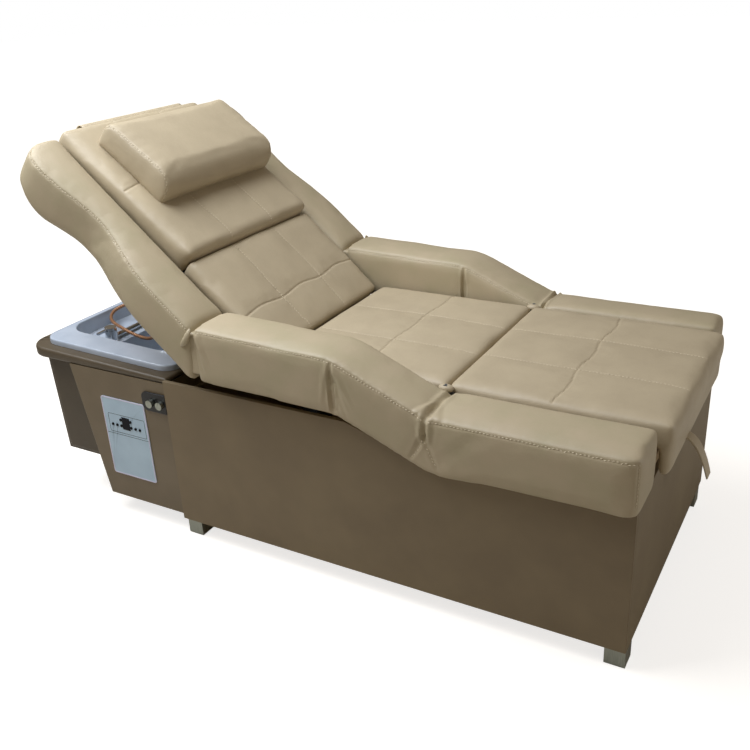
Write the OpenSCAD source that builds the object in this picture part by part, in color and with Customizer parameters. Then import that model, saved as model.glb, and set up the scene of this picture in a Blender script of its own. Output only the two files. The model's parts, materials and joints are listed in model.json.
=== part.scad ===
// Reclining shampoo bed with a wash basin unit at its head end.
// All lengths are in millimetres. +X runs to the foot end, +Y to the far side and +Z up.
// Bed coordinates start at the head end of the base cabinet, on the floor and on the centre line.
// The bed() module moves them so that the origin is below the middle of the whole object.

/* [Base cabinet] */
// Length of the base cabinet
base_len = 1230; // [1200:5:1300]
// Width of the base cabinet over its side panels
base_w = 782; // [770:2:800]
// Thickness of the cabinet panels
panel_t = 12; // [10:1:14]
// Height of the feet
foot_h = 52; // [44:1:60]
// Side of a square foot
foot_w = 48; // [40:1:52]
// Height of the side panels under the arms
panel_top = 472; // [460:1:472]
// Height of the side panels under the foot rails
panel_low = 408; // [395:1:408]
// Width of the frame tubes
tube_w = 30; // [25:1:34]
// Height of the cross tubes
tube_h = 40; // [30:1:44]

/* [Seat and leg lid] */
// Height of the seat above the floor
seat_top = 561; // [555:1:580]
// Distance of the seat crease from the head end of the cabinet
seat_x = 289; // [280:1:300]
// Length of the seat cushion
seat_len = 471; // [465:1:480]
// How far the leg lid reaches beyond the cabinet
lid_over = 35; // [30:1:45]
// Width of the seat, lid and back cushions
pad_w = 552; // [540:2:556]
// Thickness of the seat and lid cushions
pad_t = 64; // [60:1:70]
// Thickness of the boards under the cushions
board_t = 18; // [12:1:20]
// Groove between the seat and the lid cushion
seam_gap = 3; // [2:0.5:5]
// How far the cushion edges are rolled over
edge_roll = 14; // [8:1:18]
// Depth of the sewn channels
seam_d = 6; // [3:0.5:9]
// How far each field stands up between the channels
puff = 5; // [2:0.5:9]
// How far the cushion sides are drawn in between their corners
draw_in = 3; // [1:0.5:5]
// Depth of the apron that hangs over the foot panel
apron_h = 66; // [50:1:75]
// Depth of the pivot of the lid below the cushion surface
lid_pivot_d = 9; // [7:0.5:12]

/* [Side cushions] */
// Width of an arm, wing or rail cushion
side_w = 143; // [130:1:150]
// Groove between the centre cushions and the side cushions
groove = 11; // [11:0.5:14]
// Thickness of the arm cushions
arm_t = 138; // [125:1:145]
// Height of the arm above the seat at the backrest
arm_rise = 98; // [90:1:110]
// How much lower the knee is than that
knee_drop = 11; // [5:1:20]
// Distance of the knee from the recline axis
knee_x = 268; // [250:1:280]
// Width of the slit at the knee
knee_gap = 6; // [4:0.5:9]
// Distance of the valley at the foot rail from the recline axis
valley_x = 485; // [480:1:492]
// How far the foot rail lies below the seat
rail_step = 13; // [8:1:20]
// Thickness of the foot rail cushions
rail_t = 127; // [120:1:130]
// How far the foot rail ends beyond the cabinet
rail_over = 11; // [5:1:20]
// Radius of the edges of the side cushions
side_r = 10; // [6:1:14]
// Crown of the side cushions
side_crown = 5; // [2:0.5:8]
// Height of the rebate for the links at the lower inner edge
rebate_h = 40; // [36:1:44]

/* [Backrest] */
// Tilt of the backrest above the level, as raised
back_tilt = 40.5; // [38:0.5:43]
// Distance of the lower end of the back cushion from the recline axis
back_u = 49; // [44:1:56]
// Distance of the head panel's lower end from the recline axis
head_u = 372; // [355:1:385]
// Length of the head panel
head_len = 488; // [470:1:500]
// Thickness of the back cushion at its lower end
back_t = 60; // [52:1:66]
// Thickness of the back cushion at its upper end
back_t_up = 70; // [62:1:76]
// Thickness of the head panel at its lower end
head_t = 88; // [84:1:96]
// Thickness of the head panel at the head end
head_t_up = 62; // [58:1:70]
// Height of the wing's top over the recline axis, square to the backrest
wing_n = 44; // [38:1:50]
// Thickness of a wing at the arm
wing_t = 118; // [108:1:122]
// Thickness of a wing at the head end
wing_t_up = 92; // [84:1:104]
// Distance of the wing's head end from the recline axis
wing_u = 843; // [820:1:850]
// Where the waist of the wing starts
wing_full_u = 400; // [380:1:430]
// Where the waist is narrowest
waist_u = 580; // [560:1:600]
// How far the waist is cut in
waist_in = 38; // [20:1:50]
// Where the wing is widest again
flare_u = 725; // [700:1:740]
// How far the wing is in from the full width there
flare_in = 13; // [5:1:20]
// Radius of the wing's corner at the head end
wing_corner_r = 65; // [50:1:80]
// Length of the pillow along the backrest
pillow_len = 248; // [230:1:260]
// Width of the pillow
pillow_w = 450; // [430:2:470]
// Thickness of the pillow at its lower edge
pillow_t = 50; // [40:1:60]
// Thickness of the pillow at its upper edge
pillow_t_up = 72; // [60:1:84]
// Distance of the pillow's lower edge from the lower end of the head panel
pillow_from = 168; // [150:1:190]
// Height of the back frame's rails
back_rail_h = 30; // [25:1:32]
// Width of the back frame's rails
back_rail_w = 24; // [20:1:26]

/* [Pivots] */
// Radius of the pivot ears
ear_r = 13; // [12:0.5:14]
// Radius of the recline pins
recline_pin_r = 8; // [6:0.5:9]
// Radius of the arm and slope pins
link_pin_r = 5.5; // [4.5:0.5:6]
// Running clearance of a pin in its bore
pin_fit = 0.06; // [0.03:0.01:0.09]
// Thickness of the link bars
link_t = 5; // [4:0.5:6]
// Height of the link bars
link_h = 24; // [18:1:26]
// Distance of the arm pivot behind the recline axis
arm_pivot_x = 128; // [120:1:134]
// Height of the arm pivot above the recline axis
arm_pivot_z = 60; // [57:1:63]
// Height of the slope pivot above the underside of the foot rail
slope_pivot_z = 61; // [56:1:66]
// Length of the lever that the actuator pushes
lever_len = 152; // [140:1:160]

/* [Basin unit] */
// How far the rim reaches beyond the cabinet
unit_len = 520; // [500:1:540]
// Width of the basin unit
unit_w = 756; // [740:1:757]
// Wall of the moulded housing
shell_t = 4; // [3:0.5:6]
// Height of the lower edge of the rim band
rim_z = 456; // [445:1:466]
// Height of the rim band
rim_h = 32; // [26:1:36]
// Corner radius of the rim band
rim_r = 62; // [40:1:75]
// Length of the front part of the housing under the rim
front_len = 357; // [340:1:370]
// How much shorter the front part is at the floor
front_slant = 72; // [50:1:90]
// Distance of the set-back part of the housing from the side of the front part
set_back = 44; // [30:1:60]
// Height of the underside of the set-back part
rear_z = 134; // [110:1:150]
// How much lower the basin rim lies at the neck end
rim_fall = 16; // [8:1:22]
// Width of the basin opening
bowl_w = 530; // [500:2:550]
// Distance of the bowl from the head end of the rim
bowl_in = 52; // [44:1:65]
// Length of the ledge for the mixer
ledge_len = 134; // [125:1:142]
// Distance of the bowl's neck end from the cabinet
bowl_to = 72; // [60:1:85]
// Depth of the bowl below its rim
bowl_d = 190; // [150:1:215]
// Depth of the ledge below the rim
ledge_d = 46; // [40:1:60]
// Radius of the drain
drain_r = 22; // [18:1:26]
// Width of the control plate
plate_w = 159; // [150:1:165]
// Height of the control plate
plate_h = 245; // [230:1:255]
// Width of the knob bezel
bezel_w = 84; // [80:1:90]
// Height of the knob bezel
bezel_h = 56; // [50:1:62]
// Radius of a knob
knob_r = 11; // [9:0.5:13]
// Radius of a key
key_r = 4; // [3:0.5:5]
// Outer diameter of the shower hose
hose_d = 12; // [10:0.5:14]

/* [Hidden] */
$fn = 48;

// Clearances, small sizes and overruns
soft_gap = 0.4;
plate_gap = 1;
cut = 2;
plate_t = 5;
thin_t = 3.5;
strap_t = 3;
strap_w = 34;
strap_reach = 56;
strap_drop = 92;
strap_y = -124;
board_in = 14;
tube_drop = 84;
back_tube_w = 24;
lever_gap = 9;
lever_fwd = 16;
act_in = 70;
act_up = 56;
act_r = 24;
act_neck = 20;
act_tube = 250;
act_rod_r = 8;
act_rod_in = 135;
act_stroke = 35;
act_motor_r = 22;
act_motor = [120, 30];
knee_clear = 1.5;
lip_h = 17;
lip_in = [33, 8];
lip_side = 33;
rear_in = [18, 31];
lip_r = 48;
bowl_r = 60;
bowl_t = 5;
way_gap = 3;
band_gap = [14, 42, 25];
mixer_in = 104;
mixer_y = -200;
mixer_r = 18;
mixer_pipe_r = 8;
mixer_lever_len = 52;
outlet_y = 0;
shower_y = -215;
shower_end = 150;
shower_neck = 50;
shower_z = 19;
grip_r = 14;
head_r = 24;
head_in = 4;
cradle_w = 12;
cradle_from = 54;
cradle_half = 19;
plate_from = 93;
cover_t = 2;
knob_len = 12;
knob_shaft_r = 4;
bezel_t = 6;
bezel_from = 8;
display = [28, 38, 1];
key_first = 18;
key_pitch = 16;
key_rise = 18;
key_out = 2;
key_fit = 0.1;
key_rim = 1.5;
key_share = 0.66;
heater_r = 75;
heater_h = 200;
heater_x = -140;
heater_y = 190;
pump_r = 45;
pump_h = 90;
pipe_r = 20;
pipe_wall = 3;
pipe_drop = 130;
inlet = [12, 34, 26];
control_size = [160, 120, 60];
lid_ear_r = 7;
lid_pin_r = 3;
lid_foot = 60;
rail_corner = 26;
flap_t = 3;
flap_drop = 60;
flap_in = 26;
valley_gap = 4;
valley_mid = 9;
valley_top = 18;

// Levels, from the seat downwards
pad_z = seat_top - pad_t;
board_z = pad_z - soft_gap - board_t;
hinge_z = pad_z - ear_r - 2 * plate_gap;
hinge_x = seat_x - plate_t;
rail_top = seat_top - rail_step;
rail_z = rail_top - rail_t;
arm_top = seat_top + arm_rise;
arm_z = arm_top - arm_t;
knee_top = arm_top - knee_drop;

// Places along the bed
seat_end = seat_x + seat_len;
lid_x = seat_end + seam_gap;
lid_end = base_len + lid_over;
strap_x = lid_end + strap_reach;
rail_end = base_len + rail_over;
arm_px = hinge_x - arm_pivot_x;
arm_pz = hinge_z + arm_pivot_z;
knee_at = hinge_x + knee_x;
slope_px = hinge_x + valley_x;
slope_pz = rail_z + slope_pivot_z;
lid_px = seat_end + seam_gap / 2;
lid_pz = seat_top - lid_pivot_d;
act_x = seat_end - act_in;
act_z = foot_h + panel_t + act_up;
tip_x = hinge_x + lever_fwd;
tip_z = hinge_z - lever_len;
bowl_from = unit_len - bowl_in;
mixer_x = mixer_in - bowl_from;
mid_x = (strap_x - unit_len) / 2;

// Places across the bed
pad_half = pad_w / 2;
board_out = pad_half - board_in;
side_in = pad_half + groove;
side_out = side_in + side_w;
base_half = base_w / 2;
panel_in = base_half - panel_t;
rail_out_y = side_in - soft_gap;
rail_in_y = rail_out_y - back_rail_w;
fixed_ear_y = rail_out_y - back_rail_w / 2 + thin_t;
moving_ear_y = fixed_ear_y - plate_t - 2 * plate_gap;
arm_ear_y = rail_out_y - plate_gap - plate_t / 2;
link_y = side_in + plate_gap + link_t / 2;
outer_ear_y = side_in - plate_gap - thin_t / 2;
lid_ear_y = outer_ear_y - thin_t - plate_gap;
link_rebate = plate_gap + link_t;
free_rebate = 2 * plate_gap + link_t + thin_t / 2;
unit_half = unit_w / 2;
bowl_half = bowl_w / 2;
lip_half = unit_half - lip_side;

// The backrest in its own frame
rail_n = -4;
board_n = rail_n - board_t;
pad_n = rail_n + soft_gap;
arm_u = arm_pivot_x * cos(back_tilt) + arm_pivot_z * sin(back_tilt);
arm_n = arm_pivot_z * cos(back_tilt) - arm_pivot_x * sin(back_tilt);

// The tilt of the basin's rim, and the frame of the actuator
rim_tilt = atan(rim_fall / unit_len);
rim_neck = rim_z + rim_h - rim_fall + lip_h;
act_tilt = atan2(tip_z - act_z, act_x - tip_x);
act_len = norm([act_x - tip_x, tip_z - act_z]);

leather = "#B5A98A";
leather_side = "#A4977A";
plastic = "#6E6248";
steel = "#8C9094";
plywood = "#C6A878";
white = "#D5DDE8";
chrome = "#C8CCD0";
dark = "#1E2028";

function lerp(a, b, t) = a + (b - a) * t;
function mean(ring) = [for (k = [0:2]) [for (p = ring) p[k]] * [for (p = ring) 1] / len(ring)];
function to_bed(u, n) = [hinge_x - u * cos(back_tilt) + n * sin(back_tilt),
    hinge_z + u * sin(back_tilt) + n * cos(back_tilt)];

// Everything is drawn in bed coordinates and moved at once
module bed() {
    translate([-mid_x, 0, 0]) children();
}

// The frame of the backrest: the recline axis is its origin and the head end lies along -X
module back() {
    bed() translate([hinge_x, 0, hinge_z]) rotate([0, back_tilt, 0]) children();
}

// The frame of the basin's rim, which falls towards the neck
module rim() {
    bed() translate([0, 0, rim_neck]) rotate([0, rim_tilt, 0]) children();
}

// The frame of the actuator: its lower pivot is the origin and the lever lies along -X
module actuator() {
    bed() translate([act_x, 0, act_z]) rotate([0, act_tilt, 0]) children();
}

// Both sides of the bed
module pair() {
    children();
    mirror([0, 1, 0]) children();
}

// The far side as it is drawn, or its mirror image for the near side
module side_of(near) {
    mirror([0, near ? 1 : 0, 0]) children();
}

// A block from corner to corner
module block(a, b) {
    translate(a) cube(b - a);
}

// A plate with its outline in X and Z, centred on y
module plate(y, t) {
    translate([0, y + t / 2, 0]) rotate([90, 0, 0]) linear_extrude(t) children();
}

// A pin or a bore along Y
module pin(x, z, r, y0, y1) {
    translate([x, y1, z]) rotate([90, 0, 0]) cylinder(r = r, h = y1 - y0);
}

// A rod or a bore along X
module rod(x0, x1, r) {
    translate([x0, 0, 0]) rotate([0, 90, 0]) cylinder(r = r, h = x1 - x0);
}

// A post or a bore along Z
module post(x, y, z0, z1, r) {
    translate([x, y, z0]) cylinder(r = r, h = z1 - z0);
}

// A closed skin over a row of rings with equally many points
module loft(rings) {
    n = len(rings);
    m = len(rings[0]);
    points = concat([for (r = rings) each r], [mean(rings[0]), mean(rings[n - 1])]);
    skin = [for (i = [0:n - 2], j = [0:m - 1])
        let (a = i * m + j, b = i * m + (j + 1) % m)
        each [[a, b + m, b], [a, a + m, b + m]]];
    first = [for (j = [0:m - 1]) [n * m, j, (j + 1) % m]];
    last = [for (j = [0:m - 1]) [n * m + 1, (n - 1) * m + (j + 1) % m, (n - 1) * m + j]];
    polyhedron(points, concat(skin, first, last));
}

// Stations over a cushion: close together at its edges and at its channels
field_share = [0, 0.07, 0.28, 0.5, 0.72, 0.93];
near_share = 0.1;
edge_share = 0.18;
seam_share = 0.3;
quarter_share = 0.25;
bevel_share = 0.3;
crown_share = 0.75;
function steps(n) = concat([for (p = [0:n - 1], t = field_share) (p + t) / n], [1]);
function from_line(s, n) = abs(s * n - round(s * n));
function at_line(s, n, share) =
    from_line(s, n) < near_share / 10 ? 1 : from_line(s, n) < near_share ? share : 0;
function on_edge(s, n) = round(s * n) % n != 0 ? 0 : at_line(s, n, edge_share);
function on_seam(s, n) = round(s * n) % n == 0 ? 0 : at_line(s, n, seam_share);
function on_field(s, n) = let (f = 2 * (s * n - floor(s * n)) - 1) 1 - f * f * f * f;
function inner(s, n) = on_edge(s, n) > 0 ? 0 : 1;

// Height of a cushion's top over its nominal plane
function pad_dz(s, t, nx, ny) =
    puff * on_field(s, nx) * on_field(t, ny)
    - edge_roll * min(1, on_edge(s, nx) + on_edge(t, ny))
    - seam_d * inner(s, nx) * inner(t, ny) * max(on_seam(s, nx), on_seam(t, ny));

// A centre cushion with nx fields along it, the first two of them split at the share mid,
// and ny fields across it. Its sides are drawn in
module pad(x0, x1, z0, t0, t1, nx, ny, mid = 0.5) {
    rings = [for (s = steps(nx))
        let (
            k = s < 0.5 ? 2 * s * mid : mid + (2 * s - 1) * (1 - mid),
            x = lerp(x0, x1, k),
            top = z0 + lerp(t0, t1, k),
            w = pad_half - draw_in * on_field(s, 1),
            low = w - draw_in
        )
        concat(
            [[x, -low, z0], [x, low, z0], [x, w, (z0 + top) / 2]],
            [for (t = steps(ny)) [x, lerp(w, -w, t), top + pad_dz(s, t, nx, ny)]],
            [[x, -w, (z0 + top) / 2]]
        )];
    loft(rings);
}

// One section of a side cushion. Its end can lean: x holds the places of its top, of the
// height zm and of its underside. The rebate at the inner edge is rw wide and ends at zr
function lean(z, z0, zm, zt, x) =
    z > zm ? lerp(x[1], x[0], (z - zm) / (zt - zm)) : lerp(x[2], x[1], (z - z0) / (zm - z0));
function side_ring(x, yo, z0, zm, zt, zr, rw, drop) =
    let (
        r = side_r,
        b = bevel_share * r,
        low = z0 + drop / 2,
        top = zt - drop,
        out = yo - drop,
        far = out - r,
        near = side_in + r,
        c = side_crown * (1 - drop / r),
        rail = side_in + rw
    )
    [for (p = [
        [rail, low], [out - r, low], [out - b, low + b], [out, low + r],
        [out + c / 4, zm], [out, top - r], [out - b, top - b], [far, top],
        [lerp(far, near, quarter_share), top + crown_share * c], [(far + near) / 2, top + c],
        [lerp(near, far, quarter_share), top + crown_share * c], [near, top],
        [side_in + b, top - b], [side_in, top - r], [side_in, zr], [rail, zr], [rail, zm]
    ]) [lean(p[1], z0, zm, zt, x), p[0], p[1]]];

// Rounded ends: three sections, the outermost one drawn in most
end_share = [[0, 1], [bevel_share, bevel_share], [1, 0]];
function shifted(x, d) = [for (v = x) v + d];

module side_panels() color(plastic) bed() pair()
    translate([0, base_half, 0]) rotate([90, 0, 0]) linear_extrude(panel_t) polygon([
        [0, foot_h], [base_len, foot_h], [base_len, rail_z - soft_gap], [rail_board_x, rail_z - soft_gap],
        [rail_board_x, panel_low], [slope_px, panel_low], [knee_at, panel_top], [0, panel_top]
    ]);

module end_panels() color(plastic) bed() {
    block([base_len - panel_t, -panel_in, foot_h], [base_len, panel_in, rail_z - soft_gap]);
    block([0, -panel_in, foot_h], [panel_t, panel_in, panel_low]);
}

module bottom_board() color(plywood) bed()
    block([panel_t, -panel_in, foot_h], [base_len - panel_t, panel_in, foot_h + panel_t]);

// An open box for towels under the leg lid
box_x = lid_x + board_t;
box_end = base_len - panel_t;
box_out = board_out + plate_t;
box_top = board_z - plate_gap / 2;
module storage_box() color(plywood) bed() difference() {
    block([box_x, -box_out, foot_h + panel_t], [box_end, box_out, box_top]);
    block([box_x + panel_t, panel_t - box_out, foot_h + 2 * panel_t],
        [box_end - panel_t, box_out - panel_t, board_z + cut]);
}

// Two cross tubes between the side panels, with posts and seat rails on them
cross_z = panel_low - tube_h;
cross_x = hinge_x + tube_drop;
cross_end = box_x - plate_gap;
seat_rail_y = board_out - 2 * tube_w;
module frame_rails() color(steel) bed() {
    block([cross_x, -panel_in, cross_z], [cross_x + tube_w, panel_in, panel_low]);
    block([cross_end - tube_w, -panel_in, cross_z], [cross_end, panel_in, panel_low]);
    pair() difference() {
        block([cross_x, seat_rail_y, panel_low], [seat_end, seat_rail_y + tube_w, board_z]);
        block([cross_x + tube_w, seat_rail_y - cut, panel_low - cut],
            [cross_end - tube_w, seat_rail_y + tube_w + cut, board_z - tube_w]);
    }
}

module feet() color(steel) bed() pair() {
    block([cut, -unit_half, 0], [cut + foot_w, foot_w - unit_half, foot_h]);
    block([base_len - cut - foot_w, -unit_half, 0], [base_len - cut, foot_w - unit_half, foot_h]);
}

// The board of the seat, and the two boards of the foot rails
rail_board_x = slope_px + valley_top;
module fixed_boards() color(plywood) bed() {
    block([hinge_x + ear_r + 3 * plate_gap, -board_out, board_z], [seat_end, board_out, pad_z - soft_gap]);
    pair() block([rail_board_x, side_in + free_rebate, panel_low],
        [base_len - panel_t, panel_in, rail_z - soft_gap]);
}

module seat_cushion() color(leather) bed()
    pad(seat_x, seat_end, pad_z, pad_t, pad_t, 2, 3);

// The cushions of the foot rails, with rounded upright corners
rail_share = [0, 0.35, 0.7, 1];
module rail_cushions() color(leather_side) bed() pair() {
    head = [slope_px + valley_top, slope_px + valley_mid, slope_px + valley_mid];
    z = [rail_z, slope_pz, rail_top, slope_pz + ear_r + 2 * plate_gap];
    loft(concat(
        [for (e = end_share) side_ring(shifted(head, e[0] * side_r), side_out, z[0], z[1], z[2], z[3],
            free_rebate, e[1] * side_r)],
        [for (s = rail_share) let (x = rail_end - rail_corner * (1 - sin(90 * s)))
            side_ring([x, x, x], side_out - rail_corner * (1 - cos(90 * s)), z[0], z[1], z[2], z[3],
            free_rebate, s < 1 ? 0 : bevel_share * side_r)]
    ));
}

// The slope cushions, which turn about the pins at the foot rails
module slope_cushion(near) color(leather_side) bed() side_of(near) {
    x0 = [knee_at + knee_gap / 2, knee_at + knee_gap / 2, knee_at + knee_gap / 2];
    x1 = [slope_px + valley_top - valley_gap, slope_px + valley_mid - valley_gap,
        slope_px + valley_mid - 3 * valley_gap];
    stations = concat(
        [for (e = end_share) [e[0] * side_r, 0, e[1]]],
        [[0, 0.5, 0]],
        [for (i = [2:-1:0]) [-end_share[i][0] * side_r, 1, end_share[i][1]]]
    );
    loft([for (s = stations)
        let (
            t = s[1],
            z0 = lerp(arm_z - knee_drop, rail_z, t)
        )
        side_ring(shifted(lerp(x0, x1, t), s[0]), side_out, z0, z0 + slope_pivot_z,
            lerp(knee_top, rail_top, t), z0 + lerp(rebate_h, slope_pivot_z + ear_r + 2 * plate_gap, t),
            link_rebate, s[2] * side_r)]);
}
module slope_near() slope_cushion(true);
module slope_far() slope_cushion(false);

// The arm cushions, upright at the knee and at the wings
module arm_cushion(near) color(leather_side) bed() side_of(near) {
    x0 = arm_px + plate_gap;
    x1 = knee_at - knee_gap / 2;
    stations = concat(
        [for (e = end_share) [x0 + e[0] * side_r, e[1]]],
        [[(x0 + x1) / 2, 0]],
        [for (i = [2:-1:0]) [x1 - end_share[i][0] * side_r, end_share[i][1]]]
    );
    loft([for (s = stations)
        let (
            x = s[0],
            fall = knee_drop * (x - x0) / (x1 - x0)
        )
        side_ring([x, x, x], side_out, arm_z - fall, arm_z - fall + 2 * side_r, arm_top - fall,
            arm_z + rebate_h, link_rebate, s[1] * side_r)]);
}
module arm_near() arm_cushion(true);
module arm_far() arm_cushion(false);

// The bars inside the arms and slopes. Each has a bore for its pin at one end
arm_bar = 240;
slope_bar = 170;
bar_rise = 26;
module bar(from, to, near) color(steel) bed() side_of(near) plate(link_y, link_t) difference() {
    union() {
        translate(from) circle(ear_r);
        translate(from) rotate(atan2(to[1] - from[1], to[0] - from[0]))
            translate([0, -link_h / 2]) square([norm(to - from), link_h]);
    }
    translate(from) circle(link_pin_r + pin_fit);
}
module arm_link(near) bar([arm_px, arm_pz], [arm_px + arm_bar, arm_pz - bar_rise / 4], near);
module slope_link(near) bar([slope_px, slope_pz], [slope_px - slope_bar, slope_pz + bar_rise], near);
module arm_link_near() arm_link(true);
module arm_link_far() arm_link(false);
module slope_link_near() slope_link(true);
module slope_link_far() slope_link(false);

// The wings: waisted in plan, thinner towards the head end, with a rounded outer corner
wing_low_u = 130;
full_u = 300;
low_rise = 5;
corner_share = [0, 0.35, 0.6, 0.8, 0.93, 1];
function wing_low(u) = wing_n - lerp(wing_t, wing_t_up, max(0, u - wing_low_u) / (wing_u - wing_low_u));
function wing_x(x, n) = -((hinge_x - x + n * sin(back_tilt)) / cos(back_tilt));
module wing(near) color(leather_side) back() side_of(near) {
    flare_y = side_out - flare_in;
    arc_u = wing_u - wing_corner_r;
    lower_x = arm_px - 3 * plate_gap;
    foot = [wing_x(lower_x, wing_n), wing_x(lower_x, arm_n),
        wing_x(lower_x - ear_r + plate_gap, low_rise - wing_t + wing_n)];
    plan = [[flare_u, flare_y], [(flare_u + waist_u) / 2, side_out - (flare_in + waist_in) / 2],
        [waist_u, side_out - waist_in], [(waist_u + wing_full_u) / 2, side_out - waist_in / 2],
        [wing_full_u, side_out], [full_u, side_out]];
    translate([0, -soft_gap, 0]) loft(concat(
        [for (i = [5:-1:0])
            let (
                a = 90 * corner_share[i],
                u = arc_u + wing_corner_r * sin(a),
                drop = i == 5 ? side_r : i == 4 ? bevel_share * side_r : 0
            )
            wing_ring([-u, -u, -u], flare_y - wing_corner_r * (1 - cos(a)), wing_low(u), drop)],
        [for (p = plan) wing_ring([-p[0], -p[0], -p[0]], p[1], wing_low(p[0]), 0)],
        [for (i = [2:-1:0]) wing_ring(shifted(foot, -end_share[i][0] * side_r), side_out,
            wing_low(0) + low_rise, end_share[i][1] * side_r)]
    ));
}
function wing_ring(x, yo, low, drop) =
    let (
        zm = max(arm_n, low + 2 * side_r),
        zr = max(arm_n + ear_r + 2 * plate_gap, zm + plate_gap)
    )
    side_ring(x, yo, low, zm, wing_n, zr, free_rebate, drop);
module wing_near() wing(true);
module wing_far() wing(false);

module back_board() color(plywood) back()
    block([-head_u + cut, -rail_in_y, board_n], [-back_u, rail_in_y, rail_n]);

back_seam_share = 0.64;
module back_cushion() color(leather) back()
    pad(-head_u + cut, -back_u, pad_n, back_t_up, back_t, 2, 3, back_seam_share);

module head_panel() color(leather) back()
    pad(-head_u - head_len, -head_u, pad_n, head_t_up, head_t, 1, 3);

// Two side rails with three cross tubes, the ears of the pivots and the lever
back_low_n = rail_n - back_rail_h;
back_end_u = wing_u - 3 * plate_gap;
module ear(x, z, r) difference() {
    children();
    translate([x, z]) circle(r);
}
module back_tube(u) block([-u - back_tube_w, -rail_in_y, back_low_n], [-u, rail_in_y, rail_n]);
module back_frame() color(steel) {
    back() {
        back_tube(back_u - back_tube_w);
        back_tube(head_u);
        back_tube(back_end_u - back_tube_w);
        pair() {
            block([-back_end_u, rail_in_y, back_low_n], [back_tube_w - back_u, rail_out_y, rail_n]);
            plate(moving_ear_y, plate_t) ear(0, 0, recline_pin_r + pin_fit) {
                circle(ear_r);
                polygon([[0, ear_r], [-back_u, rail_n], [-back_u, back_low_n], [0, -ear_r]]);
            }
            plate(arm_ear_y, plate_t) {
                translate([-arm_u, arm_n]) circle(ear_r);
                translate([-arm_u - ear_r, arm_n]) square([2 * ear_r, rail_n - arm_n - back_rail_w / 2]);
            }
            pin(-arm_u, arm_n, link_pin_r, arm_ear_y, link_y + link_t / 2 - plate_gap / 2);
        }
    }
    bed() {
        pair() plate(lever_gap + plate_t / 2, plate_t) {
            polygon([to_bed(back_u - back_tube_w, rail_n - ear_r), to_bed(back_u, rail_n - ear_r),
                [tip_x - ear_r, tip_z], [tip_x + ear_r, tip_z]]);
            translate([tip_x, tip_z]) circle(ear_r);
        }
        pin(tip_x, tip_z, link_pin_r, -lever_gap, lever_gap);
    }
}

// The brackets of the base: for the recline pins, for the slopes and the lid, and for the actuator
module frame_brackets() color(steel) bed() {
    pair() {
        plate(fixed_ear_y, plate_t) ear(hinge_x, hinge_z, recline_pin_r) {
            translate([hinge_x, hinge_z]) circle(ear_r);
            polygon([[hinge_x - ear_r, hinge_z], [cross_x, panel_low], [cross_x + tube_w, panel_low],
                [hinge_x + ear_r, hinge_z]]);
        }
        block([cross_x, seat_rail_y + tube_w + plate_gap, panel_low],
            [cross_x + tube_w, fixed_ear_y - plate_t / 2, panel_low + plate_t]);
        plate(outer_ear_y, thin_t) difference() {
            union() {
                translate([slope_px, slope_pz]) circle(ear_r);
                translate([lid_px, lid_pz]) circle(lid_ear_r);
                polygon([[cross_end - tube_w, panel_low], [cross_end, panel_low],
                    [slope_px + ear_r, slope_pz], [lid_px + lid_ear_r, lid_pz],
                    [lid_px - lid_ear_r, lid_pz], [slope_px - ear_r, slope_pz]]);
            }
            translate([slope_px, slope_pz]) circle(link_pin_r);
            translate([lid_px, lid_pz]) circle(lid_pin_r);
        }
        block([cross_end - tube_w, seat_rail_y + tube_w + plate_gap, panel_low],
            [cross_end, outer_ear_y - thin_t / 2, panel_low + plate_t]);
        plate(lever_gap + plate_gap + plate_t / 2, plate_t) ear(act_x, act_z, link_pin_r) {
            translate([act_x, act_z]) circle(ear_r);
            translate([act_x - ear_r, foot_h + panel_t]) square([2 * ear_r, act_up]);
        }
    }
}

// The fixed pins
module pivot_pins() color(chrome) bed() {
    pair() {
        pin(hinge_x, hinge_z, recline_pin_r, moving_ear_y - plate_t / 2 - plate_gap,
            fixed_ear_y + plate_t / 2 + plate_gap);
        pin(slope_px, slope_pz, link_pin_r, outer_ear_y - thin_t / 2, link_y + link_t / 2 - plate_gap / 2);
        pin(lid_px, lid_pz, lid_pin_r, lid_ear_y - thin_t / 2 - plate_gap / 2, outer_ear_y + thin_t / 2);
    }
    pin(act_x, act_z, link_pin_r, -lever_gap - plate_gap - plate_t, lever_gap + plate_gap + plate_t);
}

// The actuator: its tube with the motor below, and the rod with the eye for the lever
motor_z = -act_r - act_motor_r - plate_gap;
module actuator_body() color(dark) actuator() difference() {
    union() {
        pin(0, 0, ear_r, -lever_gap, lever_gap);
        block([-act_neck - cut, -lever_gap, -lever_gap], [0, lever_gap, lever_gap]);
        rod(-act_tube, -act_neck, act_r);
        block([-2 * act_motor_r - act_neck, cut - act_motor_r, motor_z], [-act_neck, act_motor_r - cut, 0]);
        translate([0, 0, motor_z]) rod(-act_motor[0], -act_motor[1], act_motor_r);
    }
    pin(0, 0, link_pin_r + pin_fit, -act_r, act_r);
    rod(-act_tube - cut, -act_rod_in + act_stroke, act_rod_r + pin_fit);
}

module actuator_rod() color(chrome) actuator() difference() {
    union() {
        rod(-act_len, -act_rod_in, act_rod_r);
        pin(-act_len, 0, ear_r, plate_gap - lever_gap, lever_gap - plate_gap);
    }
    pin(-act_len, 0, link_pin_r + knee_clear, -lever_gap - cut, lever_gap + cut);
}

module control_box() color(dark) bed()
    translate([hinge_x + act_len / 2, board_out - control_size[1] - cut, foot_h + panel_t])
        cube(control_size);

// The leg lid: its board, its cushion with the apron, the hinge ears and the pull strap
lid_half = lid_ear_y - thin_t / 2;
module lid_board() color(plywood) bed()
    block([lid_x + 3 * plate_gap, -lid_half, board_z], [base_len, lid_half, pad_z - soft_gap]);

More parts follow.
